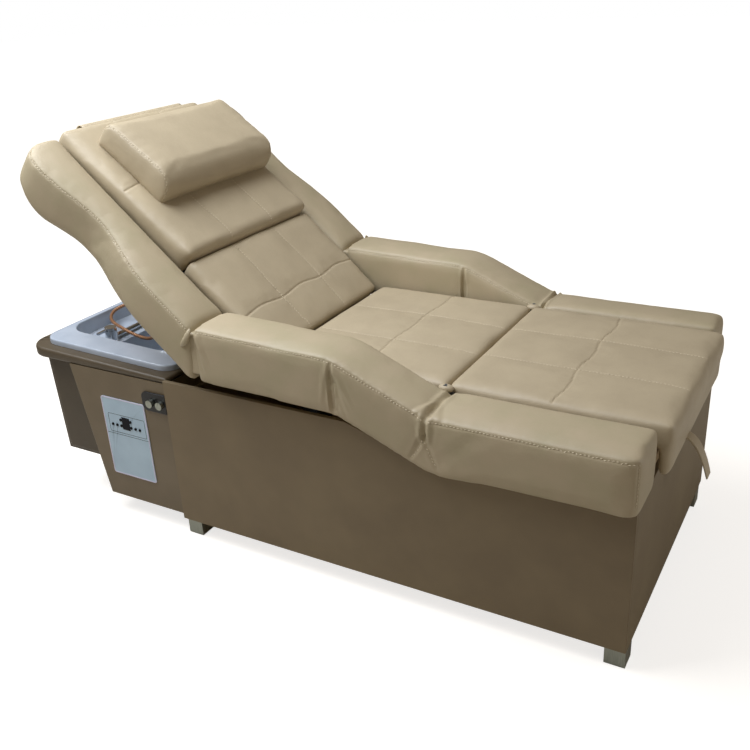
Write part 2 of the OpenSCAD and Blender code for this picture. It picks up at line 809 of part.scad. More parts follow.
module lid_cushion() color(leather) bed() {
    pad(lid_x, lid_end, pad_z, pad_t, pad_t, 2, 3);
    loft([for (z = apron_share)
        let (
            r = z[1] * side_r,
            x0 = base_len + valley_gap + r / 2,
            x1 = lid_end - draw_in - r,
            w = pad_half - draw_in - r
        )
        [for (p = [[x0, -w], [x1, -w], [x1, w], [x0, w]]) [p[0], p[1], pad_z + cut - z[0] * apron_h]]]);
}
apron_share = [[1, 0.8], [0.97, 0.3], [0.85, 0], [0.4, 0.1], [0, 0]];

module lid_hinges() color(steel) bed() pair() plate(lid_ear_y, thin_t)
    ear(lid_px, lid_pz, lid_pin_r + pin_fit) {
        translate([lid_px, lid_pz]) circle(lid_ear_r);
        polygon([[lid_px + lid_ear_r, lid_pz], [lid_px + lid_foot, pad_z], [lid_px + lid_foot, board_z],
            [lid_x + 3 * plate_gap, board_z], [lid_px - lid_ear_r, pad_z], [lid_px - lid_ear_r, lid_pz]]);
    }

strap_z = pad_z - apron_h / 2;
module pull_strap() color(leather) bed() translate([0, strap_y + strap_w / 2, 0]) rotate([90, 0, 0])
    linear_extrude(strap_w) polygon([
        [lid_end - draw_in, strap_z], [lid_end + strap_reach / 2, strap_z - strap_reach / 4],
        [strap_x - strap_t, strap_z - strap_reach], [strap_x - strap_reach / 3, strap_z - strap_drop],
        [strap_x - strap_reach / 3 + strap_t, strap_z - strap_drop], [strap_x, strap_z - strap_reach],
        [lid_end + strap_reach / 2, strap_z + strap_t - strap_reach / 4],
        [lid_end - draw_in, strap_z + strap_t]
    ]);

// The pillow lies on the head panel. Its flap runs over the panel's head end
pillow_u = head_u + pillow_from;
pillow_end_u = pillow_u + pillow_len;
function panel_n(u) = pad_n + puff + soft_gap + lerp(head_t, head_t_up, (u - head_u) / head_len);
pillow_share = [[0.02, 0], [0.98, 0], [1, 0.12], [1, 0.5], [0.97, 0.82], [0.88, 0.97], [0.7, 1.03],
    [0.5, 1.05], [0.3, 1.02], [0.12, 0.93], [0.03, 0.72], [0, 0.4], [0, 0.1]];
pillow_end_share = [[0, 0.9], [0.01, 0.97], [0.04, 1], [0.5, 1.03], [0.96, 1], [0.99, 0.97], [1, 0.9]];
module pillow() color(leather) back() {
    rotate([0, 0, 90]) loft([for (e = pillow_end_share)
        [for (p = pillow_share)
            let (
                u = lerp(pillow_u, pillow_end_u, p[0]),
                h = lerp(pillow_t, pillow_t_up, p[0]) * p[1] * e[1]
            )
            [(e[0] - 0.5) * pillow_w, u, panel_n(u) + h]]]);
    end_u = head_u + head_len + plate_gap;
    top = [pillow_end_u - flap_in, panel_n(pillow_end_u - flap_in)];
    turn = [end_u, panel_n(end_u)];
    plate(0, pillow_w - 2 * flap_in) polygon([
        [-top[0], top[1]], [-turn[0], turn[1]], [-turn[0], turn[1] - flap_drop],
        [-turn[0] - flap_t, turn[1] - flap_drop], [-turn[0] - flap_t, turn[1] + flap_t / 3],
        [-turn[0] + flap_t / 3, turn[1] + flap_t], [-top[0], top[1] + flap_t]
    ]);
}

// Outlines of the basin unit
module round_rect(x0, x1, half, r) {
    translate([x0 + r, -half]) square([x1 - x0 - 2 * r, 2 * half]);
    translate([x0, r - half]) square([x1 - x0, 2 * (half - r)]);
    for (x = [x0 + r, x1 - r], y = [r - half, half - r]) translate([x, y]) circle(r);
}
front_low_z = foot_h + plate_t;
module front_outline(t) polygon([
    [t - front_len, rim_z], [t - front_len + front_slant, front_low_z + t],
    [-t, front_low_z + t], [-t, rim_z]
]);
function front_x(z) = -front_len + front_slant * (rim_z - z) / (rim_z - front_low_z);

// The bowl passes through the wall between the two parts of the housing
module bowl_way() block(
    [-front_len - 2 * shell_t, -bowl_half - bowl_t - way_gap, rim_neck - bowl_d - bowl_t - way_gap],
    [front_slant - front_len, bowl_half + bowl_t + way_gap, rim_z + cut]
);
// The way for the drain pipe, which meets the walls only where the unit is longer
module pipe_way() rim() translate([drain_x, 0, -bowl_d]) block(
    [-2 * pipe_r - way_gap, -pipe_r - way_gap, -pipe_drop - 3 * pipe_r - bowl_t - way_gap],
    [pipe_r + way_gap, pipe_r + way_gap, 0]
);

module basin_housing() color(plastic) bed() difference() {
    plate(0, unit_w) front_outline(0);
    plate(0, unit_w - 2 * shell_t) union() {
        front_outline(shell_t);
        translate([shell_t - front_len, rim_z - cut]) square([front_len - 2 * shell_t, 2 * cut]);
    }
    translate([window_x, -unit_half - cut, key_z - key_rise])
        cube([window_w, shell_t + 2 * cut, 3 * key_rise]);
    for (x = knob_x)
        pin(x, knob_z, knob_shaft_r + 2 * plate_gap, -unit_half - cut, shell_t + cut - unit_half);
    bowl_way();
    pipe_way();
}

module rear_housing() color(plastic) bed() difference() {
    plate(0, unit_w - 2 * set_back) rear_outline(0);
    plate(0, unit_w - 2 * set_back - 2 * shell_t) rear_outline(shell_t);
    bowl_way();
    pipe_way();
}
rear_x = [rear_in[0] - unit_len, rear_in[1] - unit_len];
module rear_outline(t) polygon([
    [rear_x[0] + t, rim_z + (t > 0 ? cut : 0)], [rear_x[1] + t, rear_z + t],
    [front_x(rear_z + t) - t, rear_z + t], [front_x(rim_z) - t, rim_z + (t > 0 ? cut : 0)]
]);

module housing_rim() color(plastic) difference() {
    bed() translate([0, 0, rim_z]) linear_extrude(rim_h) difference() {
        union() {
            round_rect(-unit_len, -rim_r, unit_half, rim_r);
            translate([-2 * rim_r, -unit_half]) square([2 * rim_r, unit_w]);
        }
        round_rect(-bowl_from - band_gap[0], band_gap[1] - bowl_to, bowl_half + band_gap[2], bowl_r);
    }
    rim() block([-unit_len - rim_r, -unit_w, -lip_h], [rim_r, unit_w, rim_h]);
}

// The basin: one skin from its underside over the lip and down the bowl to the drain. Each ring
// holds its two ends, its half width, its corner radius and its depth below the lip
ring_share = [0, 0.2, 0.4, 0.6, 0.8, 1];
function box_ring(x0, x1, half, r, z) = concat(
    [for (u = ring_share) [x1 - r + r * sin(90 * u), -half + r - r * cos(90 * u), z]],
    [for (u = ring_share) [x1 - r + r * cos(90 * u), half - r + r * sin(90 * u), z]],
    [for (u = ring_share) [x0 + r - r * sin(90 * u), half - r + r * cos(90 * u), z]],
    [for (u = ring_share) [x0 + r - r * cos(90 * u), -half + r - r * sin(90 * u), z]]);
function grown(ring, t) = [ring[0] - t, ring[1] + t, ring[2] + t, ring[3] + t, ring[4]];
lip_ring = [-unit_len + lip_in[0], -lip_in[1], lip_half, lip_r, 0];
mouth_ring = [-bowl_from, -bowl_to, bowl_half, bowl_r, 0];
deep_ring = [ledge_len - bowl_from, -bowl_to, bowl_half, bowl_r, 0];
function at_depth(ring, t, z) = let (g = grown(ring, t)) [g[0], g[1], g[2], g[3], z];
taper_share = [0.4, 0.9, 1.3];
bowl_taper = taper_share[0] * bowl_r;
wall_share = [0.6, 0.88];
low_ring = [for (s = taper_share) at_depth(deep_ring, -s * bowl_taper, 0)];
module basin_bowl() color(white) rim() difference() {
    loft([for (g = [
        at_depth(low_ring[2], bowl_t, -bowl_d - bowl_t),
        at_depth(low_ring[1], bowl_t, -wall_share[1] * bowl_d - bowl_t),
        at_depth(low_ring[0], bowl_t, -wall_share[0] * bowl_d),
        at_depth(deep_ring, bowl_t, -ledge_d - bowl_t),
        at_depth(mouth_ring, bowl_t, -ledge_d - bowl_t),
        at_depth(mouth_ring, bowl_t, -lip_h),
        at_depth(lip_ring, 0, -lip_h),
        at_depth(lip_ring, 0, -plate_t),
        at_depth(lip_ring, -plate_t / 3, -plate_t / 3),
        at_depth(lip_ring, -plate_t, 0),
        at_depth(mouth_ring, plate_t, 0),
        at_depth(mouth_ring, plate_t / 3, -plate_t / 3),
        at_depth(mouth_ring, 0, -plate_t),
        at_depth(mouth_ring, -plate_t / 3, -ledge_d),
        at_depth(deep_ring, -plate_t / 3, -ledge_d),
        at_depth(low_ring[0], 0, -wall_share[0] * bowl_d),
        at_depth(low_ring[1], 0, -wall_share[1] * bowl_d),
        at_depth(low_ring[2], 0, -bowl_d)
    ]) box_ring(g[0], g[1], g[2], g[3], g[4])]);
    translate([drain_x, 0, -bowl_d - 2 * bowl_t]) cylinder(r = drain_r - pipe_wall, h = 3 * bowl_t);
    translate([drain_x, 0, -bowl_d - cover_t]) cylinder(r = drain_r, h = 2 * bowl_t);
}

drain_x = (ledge_len - bowl_from - bowl_to) / 2;
module drain_strainer() color(chrome) rim() translate([drain_x, 0, -bowl_d - cover_t]) difference() {
    cylinder(r = drain_r - key_fit, h = cover_t);
    for (a = [0:60:300]) rotate(a)
        translate([drain_r / 2, 0, -cut]) cylinder(r = drain_r / 6, h = cover_t + 2 * cut);
}

// The drain ends in a bend inside the housing
module drain_pipe() color(dark) rim() translate([drain_x, 0, -bowl_d - bowl_t]) {
    difference() {
        translate([0, 0, -pipe_drop]) cylinder(r = pipe_r, h = pipe_drop);
        translate([0, 0, -pipe_drop - cut]) cylinder(r = pipe_r - pipe_wall, h = pipe_drop + 2 * cut);
    }
    translate([-2 * pipe_r, 0, -pipe_drop]) rotate([90, 0, 0]) rotate_extrude(angle = -90)
        translate([2 * pipe_r, 0]) difference() {
            circle(pipe_r);
            circle(pipe_r - pipe_wall);
        }
}

heater_top = front_low_z + shell_t + heater_h;
module water_heater() color(steel) bed() {
    post(heater_x, heater_y, front_low_z + shell_t, heater_top, heater_r);
    for (x = [heater_x - heater_r / 2, heater_x + heater_r / 2])
        post(x, heater_y, heater_top - cut, heater_top + pipe_r, mixer_pipe_r);
}

pump_top = front_low_z + shell_t + pump_h;
module water_pump() color(dark) bed() {
    post(heater_x, -heater_y, front_low_z + shell_t, pump_top, pump_r);
    post(heater_x, -heater_y, pump_top - cut, pump_top + pipe_r, mixer_pipe_r);
}

// The mixer stands on the ledge, with the outlet of the hose beside it
module mixer_body() color(chrome) rim() {
    post(mixer_x, mixer_y, -ledge_d, -ledge_d + 2 * mixer_r, mixer_r);
    post(mixer_x, outlet_y, -ledge_d, -ledge_d + mixer_r + 2 * cut, mixer_pipe_r + cut);
    translate([mixer_x, outlet_y, mixer_pipe_r + cut - ledge_d]) rotate([90, 0, 0])
        cylinder(r = mixer_pipe_r, h = outlet_y - mixer_y);
}

module mixer_lever() color(chrome) rim() translate([mixer_x, mixer_y, 2 * mixer_r - ledge_d]) {
    translate([0, 0, soft_gap / 2]) cylinder(r = mixer_r - plate_gap, h = mixer_pipe_r);
    translate([-mixer_pipe_r / 2, -mixer_lever_len, plate_gap])
        cube([mixer_pipe_r, mixer_lever_len, mixer_pipe_r - 2 * plate_gap]);
}

// The cradle and the hand shower that lies in it, face down over the lip at the neck
module shower_holder() color(plastic) rim() difference() {
    block([-cradle_from - cradle_w, shower_y - cradle_half, 0],
        [-cradle_from, shower_y + cradle_half, shower_z + cut]);
    translate([0, shower_y, shower_z])
        rod(-cradle_from - cradle_w - cut, cut - cradle_from, grip_r + soft_gap);
}

module hand_shower() color(chrome) rim() translate([0, shower_y, shower_z]) {
    rod(-shower_end, -shower_neck + cut, grip_r);
    translate([-head_r - head_in, 0, -grip_r]) cylinder(r = head_r, h = 2 * grip_r - cut);
}

// The face of the unit: control plate, window, keys, bezel and knobs
plate_z = rear_z;
plate_y = -unit_half - cover_t;
disp_x = -plate_from - plate_w / 2;
key_z = plate_z + key_share * plate_h;
bezel_z = plate_z + plate_h - knob_r;
knob_share = [0.58, 0.18];
knob_x = [for (s = knob_share) -bezel_from - s * bezel_w];
knob_z = bezel_z + bezel_h / 2;
window_w = 2 * (key_first + 3 * key_pitch);
window_x = disp_x - window_w / 2;
key_col = [2, 1, 0, 0, 0, 0, 1, 2];
key_row = [0, 0, 0, 1, 1, 0, 0, 0];
function key_x(i) = disp_x + (i < 4 ? -1 : 1) * (key_first + key_pitch * key_col[i]);
function key_at(i) = key_z + key_rise * key_row[i];

module control_plate() color(steel) bed() difference() {
    block([disp_x - plate_w / 2, plate_y, plate_z], [disp_x + plate_w / 2, -unit_half, plate_z + plate_h]);
    for (i = [0:7]) pin(key_x(i), key_at(i), key_r + key_fit, plate_y - cut, cut - unit_half);
}

module display_window() color(dark) bed()
    block([disp_x - display[0] / 2, plate_y - display[2], key_z + key_rise / 2 - display[1] / 2],
        [disp_x + display[0] / 2, plate_y, key_z + key_rise / 2 + display[1] / 2]);

module key(i) color(dark) bed() {
    pin(key_x(i), key_at(i), key_r, plate_y - key_out, plate_gap - unit_half);
    pin(key_x(i), key_at(i), key_r + key_rim, soft_gap - unit_half, plate_gap + cover_t - unit_half);
}
module key_1() key(0);
module key_2() key(1);
module key_3() key(2);
module key_4() key(3);
module key_5() key(4);
module key_6() key(5);
module key_7() key(6);
module key_8() key(7);

module knob_bezel() color(dark) bed() difference() {
    block([-bezel_from - bezel_w, -unit_half - bezel_t, bezel_z],
        [-bezel_from, -unit_half, bezel_z + bezel_h]);
    for (x = knob_x)
        pin(x, knob_z, knob_shaft_r + pin_fit, -unit_half - bezel_t - cut, cut - unit_half);
}
knob_y = -unit_half - bezel_t - plate_gap / 2;
module knob(x) color(chrome) bed() difference() {
    union() {
        pin(x, knob_z, knob_r, knob_y - knob_len, knob_y);
        pin(x, knob_z, knob_shaft_r, knob_y - plate_gap / 2, shell_t - unit_half);
    }
    translate([x - plate_gap / 2, knob_y - knob_len - cut, knob_z + knob_r / 3])
        cube([plate_gap, cut + plate_gap, knob_r]);
}
module hot_knob() knob(knob_x[0]);
module cold_knob() knob(knob_x[1]);

module power_inlet() color(dark) bed() difference() {
    translate([rear_x[1] - inlet[0], -inlet[1] / 2, rear_z + inlet[2]])
        cube([inlet[0] + cut, inlet[1], inlet[2]]);
    translate([rear_x[1] - inlet[0] - cut, plate_t - inlet[1] / 2, rear_z + inlet[2] + plate_t])
        cube([inlet[0] / 2 + cut, inlet[1] - 2 * plate_t, inlet[2] - 2 * plate_t]);
    plate(0, 2 * inlet[1]) rear_outline(0);
}

// The hose, swept along points in the frame of the rim. The first length of each point runs from the
// outlet towards the hand shower
hose_run = 214;
hose_points = [
    [0, 0, -24], [0, 0, -14], [-5, -3, -2], [-20, -10, 6], [-44, -24, 9], [-68, -42, 7], [-85, -64, 1],
    [-92, -88, -6], [-83, -112, -12], [-62, -132, -16], [-32, -148, -17], [4, -160, -18], [44, -169, -22],
    [86, -175, -25], [122, -181, -22], [152, -190, -11], [176, -202, 5], [194, -212, 16], [204, -215, 19],
    [214, -215, 19]
];
hose_route = [for (p = hose_points) [lerp(mixer_x, -shower_end, p[0] / hose_run), p[1], p[2]]];
function unit(v) = v / norm(v);
hose_sides = 10;
hose_last = len(hose_route) - 1;
function ahead(i) = unit(hose_route[min(i + 1, hose_last)] - hose_route[max(i - 1, 0)]);
module spray_hose() color("#B07A50") rim() {
    loft([for (i = [0:hose_last])
        let (
            d = i == 0 ? [0, 0, 1] : i == hose_last ? [1, 0, 0] : ahead(i),
            side = unit(cross(d, [0.3, 1, 0.1])),
            up = cross(d, side)
        )
        [for (k = [0:hose_sides - 1]) let (a = 360 * k / hose_sides)
            hose_route[i] + hose_d / 2 * (cos(a) * side + sin(a) * up)]]);
}

side_panels();
end_panels();
storage_box();
bottom_board();
frame_rails();
feet();
fixed_boards();
seat_cushion();
rail_cushions();
frame_brackets();
pivot_pins();
control_box();
basin_housing();
rear_housing();
housing_rim();
basin_bowl();
drain_strainer();
drain_pipe();
mixer_body();
water_heater();
water_pump();
shower_holder();
control_plate();
display_window();
knob_bezel();
power_inlet();
hot_knob();
cold_knob();
key_1();
key_2();
key_3();
key_4();
key_5();
key_6();
key_7();
key_8();
mixer_lever();
hand_shower();
spray_hose();
actuator_body();
actuator_rod();
back_board();
back_frame();
back_cushion();
wing_near();
wing_far();
arm_near();
arm_far();
arm_link_near();
arm_link_far();
slope_near();
slope_far();
slope_link_near();
slope_link_far();
lid_board();
lid_cushion();
lid_hinges();
pull_strap();
head_panel();
pillow();
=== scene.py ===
import json
import math

import bmesh
import bpy
import numpy
from mathutils import Matrix, Vector, kdtree, noise
from mathutils.bvhtree import BVHTree


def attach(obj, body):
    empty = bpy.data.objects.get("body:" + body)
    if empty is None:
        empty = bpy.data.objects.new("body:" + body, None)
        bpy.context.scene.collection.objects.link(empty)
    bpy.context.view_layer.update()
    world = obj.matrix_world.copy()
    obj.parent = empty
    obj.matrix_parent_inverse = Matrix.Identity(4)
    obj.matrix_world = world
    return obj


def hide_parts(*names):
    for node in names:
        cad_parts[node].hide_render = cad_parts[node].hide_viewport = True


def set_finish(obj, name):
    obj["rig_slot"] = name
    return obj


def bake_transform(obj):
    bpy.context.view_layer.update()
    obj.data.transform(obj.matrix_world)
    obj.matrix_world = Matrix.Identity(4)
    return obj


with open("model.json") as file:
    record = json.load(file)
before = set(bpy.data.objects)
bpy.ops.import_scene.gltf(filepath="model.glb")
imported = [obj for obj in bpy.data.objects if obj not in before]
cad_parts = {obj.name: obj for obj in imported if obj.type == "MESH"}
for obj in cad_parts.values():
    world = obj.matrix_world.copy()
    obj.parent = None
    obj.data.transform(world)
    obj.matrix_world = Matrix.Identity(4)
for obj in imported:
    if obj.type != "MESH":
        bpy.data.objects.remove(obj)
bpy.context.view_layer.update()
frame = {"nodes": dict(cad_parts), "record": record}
print("frame loaded")

# Shampoo bed. Lengths in the dictionaries are millimetres in the bed's own coordinates:
# x from the head end of the cabinet, y from the centre line (+ is the far side), z from the floor.
bed = {
    "middle": 400.5,          # the origin of the frame lies here along the bed
    "hingeX": 284, "hingeZ": 482, "backTilt": 40.5,
    "rimZ": 489, "rimTilt": 1.762,
    "sideIn": 287, "sideFace": 431,      # inner and outer face of the side covers
}


def bedPoint(x, y, z):
    return Vector(((x - bed["middle"]) / 1000, y / 1000, z / 1000))


def backPoint(u, y, n):      # u along the backrest from its hinge, n square to it
    c, s = math.cos(math.radians(bed["backTilt"])), math.sin(math.radians(bed["backTilt"]))
    return bedPoint(bed["hingeX"] - u * c + n * s, y, bed["hingeZ"] + u * s + n * c)


def rimPoint(x, y, z):       # the frame of the basin's rim, which falls to the neck end
    c, s = math.cos(math.radians(bed["rimTilt"])), math.sin(math.radians(bed["rimTilt"]))
    return bedPoint(x * c + z * s, y, bed["rimZ"] - x * s + z * c)


def linked(name, data):
    obj = bpy.data.objects.new(name, data)
    bpy.context.scene.collection.objects.link(obj)
    return obj


# Camera, fitted to the photograph
view = {
    "at": (1.1598, -1.9348, 1.4275), "along": (-0.4647, 0.7819, -0.4156),
    "roll": -3.1466, "lens": 43.15, "sensor": 36,
}
cameraData = bpy.data.cameras.new("camera")
cameraData.lens, cameraData.sensor_width = view["lens"], view["sensor"]
camera = linked("camera", cameraData)
along = Vector(view["along"]).normalized()
right = along.cross(Vector((0, 0, 1))).normalized()
up = right.cross(along)
roll = math.radians(view["roll"])
right, up = right * math.cos(roll) + up * math.sin(roll), up * math.cos(roll) - right * math.sin(roll)
camera.matrix_world = Matrix.Translation(view["at"]) @ Matrix((right, up, -along)).transposed().to_4x4()
bpy.context.scene.camera = camera
print("camera set")


# Materials
def hexColor(text):          # sRGB hex to a linear colour
    parts = [int(text[i:i + 2], 16) / 255 for i in (1, 3, 5)]
    return tuple(p / 12.92 if p <= 0.04045 else ((p + 0.055) / 1.055) ** 2.4 for p in parts) + (1,)


def perMetre(mm):            # scale of a texture whose feature is this many millimetres
    return 1000 / mm


def addNode(mat, kind, sockets=None, **settings):
    node = mat.node_tree.nodes.new(kind)
    for name, value in settings.items():
        setattr(node, name, value)
    for name, value in (sockets or {}).items():
        if isinstance(value, bpy.types.NodeSocket):
            mat.node_tree.links.new(value, node.inputs[name])
        else:
            node.inputs[name].default_value = value
    return node


def newMaterial(name, roughness, color=None, metallic=0, ior=None, **more):
    mat = bpy.data.materials.new(name)
    mat.use_nodes = True
    shader = mat.node_tree.nodes["Principled BSDF"]
    shader.inputs["Roughness"].default_value = roughness
    shader.inputs["Metallic"].default_value = metallic
    if color:
        shader.inputs["Base Color"].default_value = hexColor(color)
        mat.diffuse_color = hexColor(color)
    if ior:
        shader.inputs["IOR"].default_value = ior
    for key, value in more.items():
        shader.inputs[key].default_value = value
    return mat, shader, addNode(mat, "ShaderNodeTexCoord").outputs["Object"]


def unevenness(mat, coords, mm, detail=3, roughness=0.55, stretch=(1, 1, 1)):
    placed = addNode(mat, "ShaderNodeMapping", {"Vector": coords, "Scale": stretch})
    return addNode(mat, "ShaderNodeTexNoise", {
        "Vector": placed.outputs["Vector"], "Scale": perMetre(mm), "Detail": detail,
        "Roughness": roughness}).outputs["Fac"]


def glossFrom(mat, shader, value, low, high):      # a roughness that follows a texture
    gloss = addNode(mat, "ShaderNodeMapRange", {"Value": value, "To Min": low, "To Max": high})
    mat.node_tree.links.new(gloss.outputs["Result"], shader.inputs["Roughness"])


def twoTone(mat, shader, value, first, second, low=0.35, high=0.65):
    ramp = addNode(mat, "ShaderNodeValToRGB", {"Fac": value})
    ramp.color_ramp.elements[0].position, ramp.color_ramp.elements[1].position = low, high
    ramp.color_ramp.elements[0].color, ramp.color_ramp.elements[1].color = hexColor(first), hexColor(second)
    mat.node_tree.links.new(ramp.outputs["Color"], shader.inputs["Base Color"])


def bumps(mat, shader, layers):
    normal = None
    for height, mm, strength in layers:
        sockets = {"Height": height, "Distance": mm / 1000, "Strength": strength}
        if normal:
            sockets["Normal"] = normal
        normal = addNode(mat, "ShaderNodeBump", sockets).outputs["Normal"]
    mat.node_tree.links.new(normal, shader.inputs["Normal"])


# Upholstery leather, embossed and finished with a thin top coat: pebbled grain with pressed-in pores, soft
# sheen, and a tone that wanders slowly over the hide. The pebbles are drawn at 2.6 mm, twice their size, to
# show at all.
def coatedLeather(name, light, dark, grain=2.6, roughness=0.46):
    mat, shader, coords = newMaterial(name, roughness, light, ior=1.48)
    pebble = addNode(mat, "ShaderNodeTexVoronoi", {
        "Vector": coords, "Scale": perMetre(grain), "Randomness": 0.9}, feature="DISTANCE_TO_EDGE")
    pores = addNode(mat, "ShaderNodeMapRange", {"Value": pebble.outputs["Distance"], "From Max": 0.25})
    hide = unevenness(mat, coords, 90, 4)
    soft = unevenness(mat, coords, 14, 5, 0.6)
    twoTone(mat, shader, hide, dark, light, 0.3, 0.62)
    glossFrom(mat, shader, soft, roughness - 0.07, roughness + 0.09)
    bumps(mat, shader, [(soft, 1.6, 0.35), (pores.outputs["Result"], 0.25, 0.4)])
    return mat


padLeather = coatedLeather("coatedLeatherPads", "#B6A88D", "#AEA086")
sideLeather = coatedLeather("coatedLeatherSides", "#B3A58A", "#ABA083")


# Polyester sewing thread, bonded: pale and slightly shiny
def sewingThread():
    mat, shader, coords = newMaterial("bondedThread", 0.55, "#CFC3A8", ior=1.5)
    ply = unevenness(mat, coords, 1.2, 2)
    twoTone(mat, shader, ply, "#C8BB9F", "#D6CBB2")
    return mat


thread = sewingThread()


# Leathercloth glued on board: flat, finely embossed, nearly matt
def clothOnBoard():
    mat, shader, coords = newMaterial("leatherclothOnBoard", 0.55, "#7D6E54", ior=1.47)
    cells = addNode(mat, "ShaderNodeTexVoronoi", {
        "Vector": coords, "Scale": perMetre(2.2)}, feature="SMOOTH_F1")
    wave = unevenness(mat, coords, 160, 3)
    twoTone(mat, shader, wave, "#796A52", "#817258")
    bumps(mat, shader, [(wave, 3, 0.06), (cells.outputs["Distance"], 0.2, 0.35)])
    return mat


panelCloth = clothOnBoard()


# ABS, injection moulded with a spark-eroded grain: even speckle, dull highlights
def mouldedAbs(name, light, dark, roughness, grain=1.6, depth=0.12):
    mat, shader, coords = newMaterial(name, roughness, light, ior=1.54)
    speckle = unevenness(mat, coords, grain, 2, 0.5)
    flow = unevenness(mat, coords, 120, 2)
    twoTone(mat, shader, flow, dark, light)
    glossFrom(mat, shader, speckle, roughness - 0.05, roughness + 0.07)
    bumps(mat, shader, [(flow, 2, 0.04), (speckle, depth, 0.4)])
    return mat


shellAbs = mouldedAbs("mouldedAbsShell", "#756750", "#6D5F48", 0.42)
# The rear housing is the same shell plastic painted darker: painted shade of its recess under the rim
rearAbsPaintedShade = mouldedAbs("mouldedAbsRearPaintedShade", "#4F4432", "#483E2E", 0.45)
# The rim is the same shell plastic painted darker: painted shade on its faces
rimAbsPaintedShade = mouldedAbs("mouldedAbsRimPaintedShade", "#584D3B", "#514636", 0.42)
blackAbs = mouldedAbs("mouldedAbsBlack", "#15161A", "#101115", 0.38, 1.2, 0.06)
keyAbs = mouldedAbs("mouldedAbsKeys", "#0B0C16", "#08090F", 0.5, 1.0, 0.04)
keyAbs.node_tree.nodes["Principled BSDF"].inputs["Specular IOR Level"].default_value = 0.15


def rippled(name, roughness, color, tones, ripple, **more):     # one ripple gives both tone and relief
    mat, shader, coords = newMaterial(name, roughness, color, **more)
    mm, depth, strength = ripple
    wave = unevenness(mat, coords, mm, 2)
    twoTone(mat, shader, wave, *tones)
    bumps(mat, shader, [(wave, depth, strength)])
    return mat


# Gelcoated acrylic of the basin: white with a cool cast, glossy, faint waviness of a cast face
basinWhite = rippled("gelcoatedAcrylic", 0.14, "#C6D0DE", ("#B4BFCD", "#BEC8D5"), (70, 1.5, 0.06), ior=1.49,
                     **{"Coat Weight": 0.4, "Coat Roughness": 0.06})
# Mild steel, powder coated: fine orange peel
frameCoat = rippled("powderCoatedSteel", 0.5, "#55585A", ("#505356", "#5A5D5F"), (2.2, 0.12, 0.3), ior=1.5)
# Stove enamel of the water heater: off-white and glossy
enamel = rippled("stoveEnamel", 0.28, "#D8D7D0", ("#D3D2CB", "#DDDCD6"), (5, 0.1, 0.2), ior=1.5)


# Chromed brass: polished, with the faint orange peel of plating
def chromed():
    mat, shader, coords = newMaterial("chromedBrass", 0.09, "#D5D8DA", metallic=1)
    peel = unevenness(mat, coords, 3, 2)
    water = unevenness(mat, coords, 26, 3)
    glossFrom(mat, shader, water, 0.06, 0.17)
    bumps(mat, shader, [(peel, 0.05, 0.15)])
    return mat


chrome = chromed()


# Stainless steel, brushed upright: fine streaks and a stretched highlight
def brushedSteel():
    mat, shader, coords = newMaterial("brushedStainless", 0.34, "#9EA299", metallic=1)
    streak = unevenness(mat, coords, 1.5, 4, 0.6, (1, 1, 0.04))
    twoTone(mat, shader, streak, "#989D93", "#B4B8AF", 0.3, 0.7)
    glossFrom(mat, shader, streak, 0.26, 0.44)
    bumps(mat, shader, [(streak, 0.05, 0.2)])
    return mat


steel = brushedSteel()


# Birch plywood, sanded and raw: long pale grain
def birchPly():
    mat, shader, coords = newMaterial("birchPlywood", 0.7, "#CDB48A", ior=1.46)
    grain = unevenness(mat, coords, 9, 6, 0.6, (0.08, 1, 1))
    twoTone(mat, shader, grain, "#BC9F72", "#D8C29B", 0.3, 0.7)
    bumps(mat, shader, [(grain, 0.15, 0.3)])
    return mat


plywood = birchPly()


# Polyester film over the control plate: satin, cool grey
def overlayFilm(name, light, dark, roughness):
    mat, shader, coords = newMaterial(name, roughness, light, ior=1.57)
    texture = unevenness(mat, coords, 1.2, 2)
    tone = unevenness(mat, coords, 80, 2)
    twoTone(mat, shader, tone, dark, light)
    bumps(mat, shader, [(texture, 0.04, 0.3)])
    return mat


plateFilm = overlayFilm("overlayFilmGrey", "#B4CCDD", "#ABC3D5", 0.42)
edgeFilm = overlayFilm("overlayFilmEdge", "#D9D6EA", "#D2CEE4", 0.4)


# Tinted acrylic of the display
def tintedAcrylic():
    mat, shader, coords = newMaterial("tintedAcrylic", 0.08, "#080A16", **{"Specular IOR Level": 0.12})
    smear = unevenness(mat, coords, 12, 3)
    glossFrom(mat, shader, smear, 0.05, 0.14)
    twoTone(mat, shader, smear, "#06070F", "#0B0D1C")
    return mat


displayGlass = tintedAcrylic()


# Interlocked hose of copper-coloured steel: bands across the hose, drawn at 4 mm pitch
def interlockedHose():
    mat, shader, coords = newMaterial("interlockedCopperHose", 0.36, "#A57A58", metallic=0.45)
    band = addNode(mat, "ShaderNodeTexWave", {
        "Vector": coords.node.outputs["UV"], "Scale": 24.0, "Distortion": 0.0},
        bands_direction="X", wave_profile="SIN")
    twoTone(mat, shader, band.outputs["Fac"], "#7E573A", "#B3835E", 0.1, 0.7)
    bumps(mat, shader, [(band.outputs["Fac"], 0.8, 0.6)])
    return mat


hoseMetal = interlockedHose()
print("materials made")


# Mesh tools
def newObject(name, bm, mat, smooth=True):
    mesh = bpy.data.meshes.new(name)
    bm.to_mesh(mesh)
    bm.free()
    for face in mesh.polygons:
        face.use_smooth = smooth
    mesh.materials.append(mat)
    return linked(name, mesh)


def applied(obj):            # the modifiers go into the mesh
    bpy.context.view_layer.update()
    shown = obj.evaluated_get(bpy.context.evaluated_depsgraph_get())
    mesh = bpy.data.meshes.new_from_object(shown)
    obj.modifiers.clear()
    obj.data = mesh
    return obj


def copyOf(node):            # a merged copy of a CAD node, as a bmesh
    bm = bmesh.new()
    bm.from_mesh(frame["nodes"][node].data)
    bmesh.ops.remove_doubles(bm, verts=bm.verts, dist=0.00002)
    return bm


